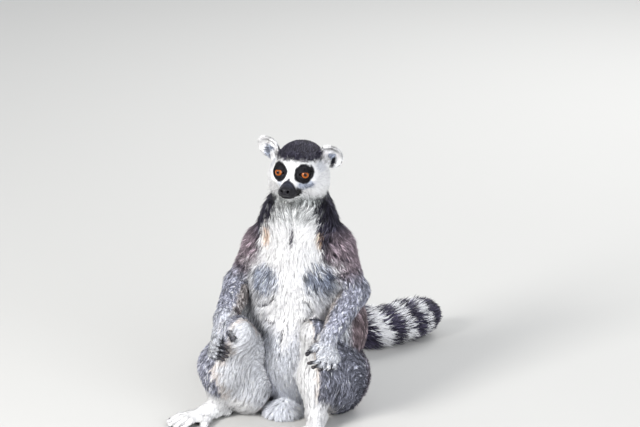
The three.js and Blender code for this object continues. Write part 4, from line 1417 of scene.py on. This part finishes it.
def tufts(name, roots, normals, colours, charts, rings, **bend):
    """One mesh of closed spindles. Each bends over towards the skin from its sunken root to its tip."""
    vertices, spans = bent_spindles(roots, normals, rings=rings, **bend)
    per = len(spans)
    faces = (np.arange(len(roots))[:, None, None] * per + spindle_faces(len(rings))).reshape(-1, 3)
    made = mesh_object(name, vertices.reshape(-1, 3), faces)
    outward = unit(vertices - roots[:, None] + normals[:, None])
    soft = unit(np.repeat(normals[:, None], per, 1) * SKIN_SHARE + TUFT_SHARE * outward)
    made.data.normals_split_custom_set_from_vertices(soft.reshape(-1, 3))
    # painted shade towards each tuft's root
    deep = mix(*ROOT_SHADE, ramp(colours.mean(1), 0.25, 0.75))[:, None]
    shades = mix(deep, TIP_SHADE, spans[None, :, 0])
    paint(made, "marking", (colours[:, None] * shades[:, :, None]).reshape(-1, 3))
    uv = charts[:, None] + spans[None] * PATCH
    layer = made.data.uv_layers.new(name="OFBake")
    layer.data.foreach_set("uv", uv.reshape(-1, 2)[faces.ravel()].astype(np.float32).ravel())
    return made


def column_chart(low, high):
    """The unwrap of a piece that stands around the line from low to high."""
    axes = frame_of(high - low, vec(0, 1, 0) if abs(unit(high - low)[1]) < 0.9 else vec(0, 0, 1))
    length = np.linalg.norm(high - low)

    def chart(p):
        q = (p - low) @ axes
        return np.arctan2(q[:, 0], q[:, 1]), q[:, 2] / length
    return chart


def tail_chart(p):
    along = tail_place(p)[1]
    out = p - tail_point(along)
    sideways = np.cross(tail_way(p), (0, 0, 1))
    return np.arctan2(out[:, 2], (out * sideways).sum(1)), along / TAIL_LENGTH


def arm_chart(side):
    arm = ARMS[side]
    return column_chart(arm["wrist"] + (0, -40, -40), arm["shoulder"] + (0, 0, 30))


def leg_chart(side):
    leg = LEGS[side]
    return column_chart(leg["calf"] * (1, 1, 0), leg["knee"] + (0, 0, 30))


FACE_EDGE = -14.0  # the face's coat ends at this y of the head's frame
NECK_BASE = 226.0
FRONT_SIDE = 8.0  # the trunk's coat is parted in two at this y
TAIL_PARTING = 330.0  # how far along the tail its second coat piece starts
HEAD_CHART = column_chart(HEAD - (0, 0, 48), HEAD + (0, 0, 48))
TRUNK_CHART = column_chart(vec(0, 5, 0), vec(0, 5, 232))
USUAL = dict(per_lock=20, unruly=0.14, rings=(0.4,), where=lambda p: np.ones(len(p), bool))
# Each piece of the coat: its body parts and where on them it grows, how many tufts, how wide they are and
# how steeply they rise, how many make a lock, how far locks stray, and where along it a tuft has its rings
COATS = {
    "coat_face": dict(
        parts=["head"], where=lambda p: to_head(p)[:, 1] < FACE_EDGE,
        count=32000, width=0.58, lift=0.36, per_lock=14, unruly=0.07, chart=HEAD_CHART),
    "coat_crown": dict(
        parts=["head"], where=lambda p: to_head(p)[:, 1] >= FACE_EDGE,
        count=22000, width=0.8, lift=0.45, per_lock=12, chart=HEAD_CHART),
    "coat_ears": dict(
        parts=["ear_right", "ear_left"], count=12000, width=0.8, lift=0.4, per_lock=12,
        chart=column_chart(HEAD - (62, 0, 0), HEAD + (62, 0, 0))),
    "coat_neck": dict(
        parts=["trunk"], where=lambda p: p[:, 2] > NECK_BASE, count=25000, width=1.1, lift=0.5,
        chart=column_chart(vec(0, 5, 222), vec(0, 5, 330))),
    "coat_front": dict(
        parts=["trunk"], where=lambda p: (p[:, 2] <= NECK_BASE) & (p[:, 1] < FRONT_SIDE),
        count=27000, width=1.25, lift=0.5, chart=TRUNK_CHART),
    "coat_back": dict(
        parts=["trunk"], where=lambda p: (p[:, 2] <= NECK_BASE) & (p[:, 1] >= FRONT_SIDE),
        count=18000, width=1.5, lift=0.45, per_lock=10, chart=TRUNK_CHART),
    **{f"coat_arm_{s}": dict(
        parts=[f"arm_{s}", f"hand_{s}"], count=17500, width=1.1, lift=0.5, per_lock=10, unruly=0.25,
        chart=arm_chart(s)) for s in SIDES},
    **{f"coat_leg_{s}": dict(
        parts=[f"leg_{s}", f"foot_{s}"], count=18500, width=1.25, lift=0.5, per_lock=10, unruly=0.25,
        chart=leg_chart(s)) for s in SIDES},
    "coat_tail_root": dict(
        parts=["tail"], where=lambda p: tail_place(p)[1] < TAIL_PARTING,
        count=7000, width=2.0, lift=0.55, rings=(0.3, 0.7), chart=tail_chart),
    "coat_tail_end": dict(
        parts=["tail"], where=lambda p: tail_place(p)[1] >= TAIL_PARTING,
        count=13000, width=1.5, lift=0.55, rings=(0.3, 0.7), chart=tail_chart),
}


def scattered(corners, chance, count):
    """Points spread over the triangles: their corner numbers and shares."""
    level = (np.arange(count) + RANDOM.random(count)) / count
    pick = np.minimum(np.searchsorted(np.cumsum(chance) / chance.sum(), level), len(corners) - 1)
    a, b = RANDOM.random((2, count))
    over = a + b > 1
    a[over], b[over] = 1 - a[over], 1 - b[over]
    return corners[pick], np.column_stack([1 - a - b, a, b])[:, :, None]


def lengths_of(p, weight):
    """How long the hair is at each point."""
    return sum(weight[:, i] * LENGTHS[name](p) for i, name in enumerate(PARTS)
               if weight[:, i].max() > LEAST_WEIGHT)


def along_skin(ways, normals):
    """The ways with what leads off the skin taken out."""
    return unit(ways - normals * (ways * normals).sum(1, keepdims=True))


def crowding(p, weight):
    """Tufts stand closer where they are short: on the face, the hands and the feet."""
    return (12.0 / np.maximum(lengths_of(p, weight), 4.0)) ** 0.8


def rooted(piece, corners, area, middles, part):
    """Where the piece's tufts grow: their roots, the skin's normals and the parts' weights there."""
    own = np.isin(part, [PARTS.index(n) for n in piece["parts"]]) & piece["where"](middles)
    corners = corners[own]
    chance = area[own] * crowding(middles[own], skin_weights[corners[:, 0]])
    corner, share = scattered(corners, chance, int(piece["count"] * (1)))
    roots, normals, weight = ((values[corner] * share).sum(1)
                              for values in (skin_points, skin_normals, skin_weights))
    normals = unit(normals)
    grown = bare_share(roots, normals, weight) < RANDOM.random(len(roots))
    grown &= roots[:, 2] > 1.5 + 3 * (normals[:, 2] < -0.5)
    return roots[grown], normals[grown], weight[grown]


def coat_piece(name, piece, *skin_parts):
    """The tufts of one piece. Short ones are narrower, and those at a lock's edge are shorter."""
    roots, normals, weight = rooted(piece, *skin_parts)
    count = len(roots)
    ways = along_skin(by_part(roots, weight, WAYS), normals)
    lock, aside, edge = locks_of(roots, ways, piece["per_lock"])
    locks = lock.max() + 1
    ways = ways + RANDOM.normal(0, piece["unruly"], (locks, 3))[lock] + RANDOM.normal(0, STRAY, (count, 3))
    ways = along_skin(ways, normals)
    lengths = lengths_of(roots, weight)
    widths = piece["width"] * mix(0.62, 1.0, ramp(lengths, 1.5, 9.0)) * RANDOM.uniform(*WIDTHS, count)
    lengths = lengths * RANDOM.uniform(*LENGTH_SPREAD, count) * mix(1.06, 0.86, edge)
    lift = piece["lift"] * RANDOM.uniform(*LIFTS, count) * RANDOM.uniform(*LOCK_LIFTS, locks)[lock]
    seen = roots + ways * (lengths * RANDOM.uniform(*SEEN_AT, count))[:, None]
    colours = np.clip(ticked(by_part(seen, weight, COLOURS, normals), lock, edge), 0, MOST_LIGHT)
    around, along = piece["chart"](roots)
    charts = np.column_stack([mix(0.02, 0.98, around / (2 * np.pi) + 0.5),
                              np.clip(mix(0.05, 0.95, along), 0.01, 0.99)])
    return tufts(name, roots, normals, colours, charts, piece["rings"],
                 ways=ways, lengths=lengths, widths=widths, lift=lift, gather=aside * LOCK_PULL)


def make_coat():
    corners, area, middles = skin_triangles()
    part = skin_weights[corners].sum(1).argmax(1)
    return [coat_piece(name, {**USUAL, **piece}, corners, area, middles, part)
            for name, piece in COATS.items()]


coats = make_coat()


# ---- eyes ----
IRIS = 5.0  # radius of the coloured ring as it shows
PUPIL = 1.9
CORNEA_RISE = 0.95
EYE_RINGS, EYE_SIDES = 44, 72
AMBER = vec(0.42, 0.115, 0.016)
RUST = vec(0.11, 0.026, 0.008)
DARK_EYE = vec(0.012, 0.007, 0.006)


def eye_colour(turn, off):
    """Of a point that lies off millimetres from the gaze: pupil, amber fibres, dark rim, dark white."""
    fibres = 0.5 + 0.25 * np.sin(turn * 23 + 2 * np.sin(turn * 5)) + 0.25 * np.sin(turn * 41 + 1.3)
    c = blend(flat(AMBER, off), RUST, ramp(off, 4.3, PUPIL) * (0.65 + 0.5 * fibres).clip(0, 1))
    c = blend(c, RUST, 0.5 * ramp(off, 3.6, IRIS) * (0.4 + 0.8 * fibres))
    c = blend(c, DARK_EYE, ramp(off, IRIS - 0.7, IRIS + 0.1))
    return blend(c, vec(0.001, 0.001, 0.001), ramp(off, PUPIL + 0.2, PUPIL - 0.1))


def make_eye(side):
    """A ball turned along its gaze, with the bulge of the cornea and a ring of rows around it."""
    limbus = math.asin((IRIS + 0.6) / EYE_RADIUS)
    tilt = math.pi * np.linspace(0, 1, EYE_RINGS + 1)[1:-1] ** 1.45
    radius = EYE_RADIUS + CORNEA_RISE * ramp(tilt, limbus * 1.15, 0.0)
    turn = np.arange(EYE_SIDES) * 2 * math.pi / EYE_SIDES
    off, ahead = radius * np.sin(tilt), radius * np.cos(tilt)
    ring = np.stack([np.outer(off, np.cos(turn)), np.outer(off, np.sin(turn)),
                     np.repeat(ahead[:, None], EYE_SIDES, 1)], -1).reshape(-1, 3)
    ends = np.array([(0, 0, EYE_RADIUS + CORNEA_RISE), (0, 0, -EYE_RADIUS)])
    local = np.concatenate([ring, ends])
    i, j = np.meshgrid(np.arange(len(tilt) - 1), np.arange(EYE_SIDES), indexing="ij")
    a, b = (i * EYE_SIDES + j).ravel(), (i * EYE_SIDES + (j + 1) % EYE_SIDES).ravel()
    sides = np.concatenate([np.stack([a, a + EYE_SIDES, b + EYE_SIDES], 1),
                            np.stack([a, b + EYE_SIDES, b], 1)])
    k = np.arange(EYE_SIDES)
    after, last = (k + 1) % EYE_SIDES, (len(tilt) - 1) * EYE_SIDES
    caps = [np.stack([np.full(EYE_SIDES, len(ring)), k, after], 1),
            np.stack([np.full(EYE_SIDES, len(ring) + 1), last + after, last + k], 1)]
    axes = frame_of(gaze(SIDES[side]), vec(0, 0, 1))
    placed = from_head(local @ axes.T + eye_place(SIDES[side]))
    made = mesh_object(f"eyeball_{side}", placed, np.concatenate([sides, *caps]))
    hidden = ramp(local[:, 2], 1.0, -1.0)
    seen = eye_colour(np.arctan2(local[:, 1], local[:, 0]), np.hypot(local[:, 0], local[:, 1]))
    paint(made, "marking", blend(seen, DARK_EYE, hidden))
    return made


# ---- nails: a small curved plate on the back of each digit's end ----
NAIL_ROWS, NAIL_ACROSS = 7, 6
NAIL = (4.6, 3.4, 0.8)  # length, width, and the end's width as a share of the middle's
CLAW = (6.5, 2.4, 0.25)
NAIL_DEPTH = 0.45
NAIL_BACK = 0.62  # the share of a nail that lies behind the digit's tip


def nail_shell(tip, way, back, round_radius, length, width, point):
    """The closed plate's vertices and quads. It follows the digit's round back and narrows to its end."""
    side = np.cross(way, back)
    rows = []
    for depth in (0.0, -NAIL_DEPTH):
        for t in np.linspace(0, 1, NAIL_ROWS):
            oval = math.sqrt(max(1 - (2 * t - 1) ** 2 * mix(0.55, 0.8, t), 0.02))
            half = width / 2 * oval * mix(1, point, t ** 2)
            rise = round_radius + depth * math.sin(math.pi * min(t * 1.2 + 0.1, 0.9)) + 0.25 * t
            for s in np.linspace(-1, 1, NAIL_ACROSS):
                angle = s * half / round_radius
                rows.append(tip + way * length * (t - NAIL_BACK) + side * round_radius * math.sin(angle)
                            + back * (rise * math.cos(angle)))
    n, m = NAIL_ROWS, NAIL_ACROSS
    quads = []
    for i in range(n - 1):
        for j in range(m - 1):
            a = i * m + j
            quads.append((a, a + 1, a + m + 1, a + m))
            quads.append((a + n * m, a + n * m + m, a + n * m + m + 1, a + n * m + 1))
    rim = list(range(m)) + [i * m + m - 1 for i in range(1, n)]
    rim += [(n - 1) * m + j for j in range(m - 2, -1, -1)] + [i * m for i in range(n - 2, 0, -1)]
    for a, b in zip(rim, rim[1:] + rim[:1]):
        quads.append((b, a, a + n * m, b + n * m))
    return np.array(rows), np.array(quads)


def make_nails(name, digits, back, thick, grooming=None):
    """One piece with the nails of a hand or a foot. The grooming claw is longer and pointed."""
    shells = []
    for i, (_, bend, tip) in enumerate(digits):
        way = unit(tip - bend)
        up = unit(back - way * (back @ way))
        shells.append(nail_shell(tip, way, up, thick, *(CLAW if i == grooming else NAIL)))
    return joined(name, shells)


def make_all_nails():
    finger, toe = FINGER_RADIUS - DEPTH["hand"] + 0.15, TOE_RADIUS - 0.7
    hand_nails = [make_nails(f"nails_hand_{s}", digit_points(s), -unit(PALM_SIDE[s]), finger) for s in SIDES]
    up = vec(0, 0, 1)
    return hand_nails + [make_nails(f"nails_foot_{s}", toe_points(s), up, toe, grooming=0) for s in SIDES]


# ---- whiskers ----
WHISKER_STEPS, WHISKER_SIDES = 7, 5
WHISKER_ROOT, WHISKER_TIP = 0.11, 0.04  # radii
WHISKERS = [  # root, way and length of those on the left of the muzzle and over the eye, in the head's frame
    *[(vec(7.5 + 1.2 * row, -54 + 4.5 * k, -13 - 3.1 * row),
       vec(1, -0.15 + 0.2 * k, -0.25 - 0.14 * row), 21 - 2 * row) for row in range(2) for k in range(3)],
    *[(vec(15 + 3 * k, -36 + k, 21), vec(0.25 + 0.15 * k, -0.55, 0.8), 14) for k in range(2)],
]


def whisker(root, way, length, droop):
    """A thin rod that tapers to its tip and hangs a little."""
    across = unit(np.cross(way, (0, 0, 1)))
    up = np.cross(across, way)
    turn = np.arange(WHISKER_SIDES) * 2 * math.pi / WHISKER_SIDES
    rows = []
    for t in np.linspace(0, 1, WHISKER_STEPS):
        middle = root + way * length * t - vec(0, 0, 1) * droop * t * t
        thick = mix(WHISKER_ROOT, WHISKER_TIP, t)
        rows.append(middle + thick * (np.outer(np.cos(turn), across) + np.outer(np.sin(turn), up)))
    points = np.concatenate([*rows, [rows[0].mean(0)], [rows[-1].mean(0)]])
    n = WHISKER_SIDES
    faces = []
    for i in range(WHISKER_STEPS - 1):
        for j in range(n):
            a, b = i * n + j, i * n + (j + 1) % n
            faces += [(a, b, b + n), (a, b + n, a + n)]
    last = (WHISKER_STEPS - 1) * n
    for j in range(n):
        k = (j + 1) % n
        faces += [(len(points) - 2, k, j), (len(points) - 1, last + j, last + k)]
    return points, np.array(faces)


def make_whiskers():
    shells = []
    for side in (RIGHT, LEFT):
        for root, way, length in WHISKERS:
            q = root * (side, 1, 1)
            start = settled(head, from_head(q)[None], steps=8, most=1.5)[0] - unit(from_head(q) - HEAD) * 0.6
            heading = unit((way * (side, 1, 1)) @ HEAD_AXES.T + RANDOM.normal(0, 0.07, 3))
            length = length * RANDOM.uniform(0.8, 1.15)
            shells.append(whisker(start, heading, length, RANDOM.uniform(1.5, 4)))
    return joined("whiskers", shells)


eyes = [make_eye(s) for s in SIDES]
nails = make_all_nails()
whiskers = make_whiskers()


# ---- materials ----
NOISE_LOW, NOISE_HIGH = 0.3, 0.7  # most of a noise texture's values lie between
NAIL_BLACK = (0.035, 0.028, 0.03)
WHISKER_BLACK = (0.02, 0.017, 0.018)


class Nodes:
    """A material's node tree, built by short calls."""

    def __init__(self, name):
        self.material = bpy.data.materials.new(name)
        self.material.use_nodes = True
        self.tree = self.material.node_tree
        self.shader = self.tree.nodes["Principled BSDF"]

    def add(self, kind, inputs=None, **settings):
        node = self.tree.nodes.new(kind)
        for key, value in settings.items():
            setattr(node, key, value)
        for key, value in (inputs or {}).items():
            if isinstance(value, bpy.types.NodeSocket):
                self.tree.links.new(value, node.inputs[key])
            else:
                node.inputs[key].default_value = value
        return node

    def set(self, **values):
        """Constants of the shader, straight on its own sockets."""
        for key, value in values.items():
            self.shader.inputs[key.replace("_", " ")].default_value = value

    def feed(self, key, socket):
        self.tree.links.new(socket, self.shader.inputs[key])

    def marking(self):
        return self.add("ShaderNodeAttribute", attribute_name="marking").outputs["Color"]

    def noise(self, scale, detail=3.0, stretch=(1, 1, 1)):
        """Noise in the object's own space; scale counts features in a metre."""
        place = self.add("ShaderNodeTexCoord").outputs["Object"]
        place = self.add("ShaderNodeMapping", {"Vector": place, "Scale": stretch}).outputs["Vector"]
        node = self.add("ShaderNodeTexNoise", {"Vector": place, "Scale": scale, "Detail": detail})
        return node.outputs["Fac"]

    def cells(self, scale):
        place = self.add("ShaderNodeTexCoord").outputs["Object"]
        node = self.add("ShaderNodeTexVoronoi", {"Vector": place, "Scale": scale}, feature="F1")
        return node.outputs["Distance"]

    def between(self, factor, low, high):
        """The factor spread over a range of numbers."""
        node = self.add("ShaderNodeMapRange", {"Value": factor, "To Min": low, "To Max": high})
        node.inputs["From Min"].default_value = NOISE_LOW
        node.inputs["From Max"].default_value = NOISE_HIGH
        return node.outputs["Result"]

    def times(self, colour, amount):
        """The colour, lighter or darker by a number."""
        node = self.add("ShaderNodeVectorMath", {0: colour, 1: amount}, operation="MULTIPLY")
        return node.outputs["Vector"]

    def bump(self, height, strength, distance):
        node = self.add("ShaderNodeBump", {"Height": height, "Strength": strength, "Distance": distance})
        self.feed("Normal", node.outputs["Normal"])


def coat_material(name, roughness, sheen, fine):
    """Hair: the marking, uneven from strand to strand, with a soft sheen."""
    m = Nodes(name)
    m.feed("Base Color", m.times(m.marking(), m.between(m.noise(fine, 2.0), 0.86, 1.12)))
    m.feed("Roughness", m.between(m.noise(fine * 0.5), roughness - 0.08, roughness + 0.08))
    m.bump(m.noise(fine * 1.6, 2.0), 0.25, 0.0002)
    m.set(Specular_IOR_Level=0.1, Sheen_Weight=sheen, Sheen_Roughness=0.45)
    return m.material


def hide_material():
    """The skin under the coat: the same marking, broken into fine short hair, and darker as painted shade
    between the tufts.
    """
    m = Nodes("hide")
    # darker than the coat: painted shade where the skin shows between the tufts
    m.feed("Base Color", m.times(m.marking(), m.between(m.noise(900, 3.0), 0.7, 1.05)))
    m.feed("Roughness", m.between(m.noise(400), 0.7, 0.9))
    m.bump(m.noise(1300, 3.0), 0.6, 0.0006)
    m.set(Specular_IOR_Level=0.25)
    return m.material


def bare_material(name, grain, roughness, depth):
    """Bare black skin: a leather of small cells, a little moist."""
    m = Nodes(name)
    m.feed("Base Color", m.times(m.marking(), m.between(m.noise(350, 4.0), 0.8, 1.5)))
    m.feed("Roughness", m.between(m.noise(500), roughness - 0.06, roughness + 0.1))
    m.bump(m.cells(grain), 0.5, depth)
    m.set(Specular_IOR_Level=0.25, Coat_Weight=0.04, Coat_Roughness=0.35)
    return m.material


def eye_material():
    m = Nodes("wet_eye")
    m.feed("Base Color", m.times(m.marking(), m.between(m.noise(1600, 2.0), 0.85, 1.12)))
    m.feed("Roughness", m.between(m.noise(300), 0.10, 0.16))
    m.set(Specular_IOR_Level=0.2, Coat_Weight=0.12, Coat_Roughness=0.03)
    return m.material


def horn_material(name, colour, streak):
    m = Nodes(name)
    tone = m.add("ShaderNodeRGB")
    tone.outputs[0].default_value = (*colour, 1)
    m.feed("Base Color", m.times(tone.outputs[0], m.between(m.noise(streak, 3.0, (1, 0.25, 1)), 0.6, 1.5)))
    m.feed("Roughness", m.between(m.noise(700), 0.3, 0.45))
    m.bump(m.noise(streak * 1.5), 0.3, 0.0002)
    m.set(Specular_IOR_Level=0.5)
    return m.material


def dress_skin():
    """Short hair and bare skin are two materials of the one skin; the nose is the moist one."""
    middles = skin_points[skin_quads].mean(1)
    n = unit(skin_normals[skin_quads].mean(1))
    weight = skin_weights[skin_quads].mean(1)
    bare = bare_share(middles, n, weight) > 0.5
    ears_only = weight[:, [PARTS.index("ear_right"), PARTS.index("ear_left")]].sum(1) > 0.5
    nose = bare & (to_head(middles)[:, 1] < -50) & (weight[:, PARTS.index("head")] > 0.5)
    index = np.where(nose, 2, np.where(bare & ~ears_only, 1, 0)).astype(np.int32)
    for material in (hide_material(), bare_material("bare_skin", 1500, 0.56, 0.0004),
                     bare_material("nose_leather", 1100, 0.4, 0.0004)):
        skin.data.materials.append(material)
    skin.data.polygons.foreach_set("material_index", index)


dress_skin()
short_coat = coat_material("coat_short", 0.72, 0.015, 1500)
long_coat = coat_material("coat_long", 0.66, 0.04, 900)
LONG = ("coat_neck", "coat_tail_root", "coat_tail_end", "coat_back", "coat_front")
for piece in coats:
    piece.data.materials.append(long_coat if piece.name in LONG else short_coat)
for eye in eyes:
    eye.data.materials.append(eye_material())
for nail in nails:
    nail.data.materials.append(horn_material("nail_horn", NAIL_BLACK, 1200))
whiskers.data.materials.append(horn_material("whisker_horn", WHISKER_BLACK, 800))


# ---- stage ----
FLOOR_SIZE = 8
LIGHT_AIM = Vector((0, 0.02, 0.2))


def make_stage():
    bpy.ops.mesh.primitive_plane_add(size=FLOOR_SIZE)
    floor = bpy.context.object
    floor.name = "floor"
    m = Nodes("floor")
    m.feed("Roughness", m.between(m.noise(3), 0.85, 0.95))
    m.set(Base_Color=(0.55, 0.545, 0.53, 1))
    floor.data.materials.append(m.material)


def make_light(name, place, size, power, colour=(1, 1, 1)):
    light = bpy.data.lights.new(name, "AREA")
    light.size = size
    light.energy = power
    light.color = colour
    made = bpy.data.objects.new(name, light)
    bpy.context.scene.collection.objects.link(made)
    made.location = place
    made.rotation_euler = (LIGHT_AIM - Vector(place)).to_track_quat("-Z", "Y").to_euler()


def make_world(strength):
    world = bpy.data.worlds.new("world")
    bpy.context.scene.world = world
    world.use_nodes = True
    background = world.node_tree.nodes["Background"]
    background.inputs["Color"].default_value = (0.93, 0.96, 1, 1)
    background.inputs["Strength"].default_value = strength


bpy.context.scene.view_settings.view_transform = "Standard"
make_stage()
make_light("key", (-1.5, -2.4, 1.8), 1.0, 118, (1, 0.985, 0.96))
make_light("fill", (2.0, -2.0, 0.9), 1.8, 55, (0.95, 0.97, 1))
make_light("rim", (0.6, 2.2, 1.8), 1.4, 40)
make_world(0.64)

# ---- what each piece rides on; each coat piece's slot is looked up, but not kept ----
SLOTS = {"coat_face": "coat_white", "coat_crown": "coat_charcoal", "coat_ears": "coat_white",
         "coat_neck": "coat_charcoal", "coat_front": "coat_white", "coat_back": "coat_brown",
         "coat_tail_root": "coat_black", "coat_tail_end": "coat_black"}
EYE_NODES = [f"eye_{s}" for s in SIDES]
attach(skin, "root")
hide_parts(*[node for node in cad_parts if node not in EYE_NODES])
for piece in coats:
    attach(piece, "root")
    SLOTS.get(piece.name, "coat_grey")
for eye, node in zip(eyes, EYE_NODES):
    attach(eye, "root")
    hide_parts(node)
for piece in [*nails, whiskers]:
    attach(piece, "root")
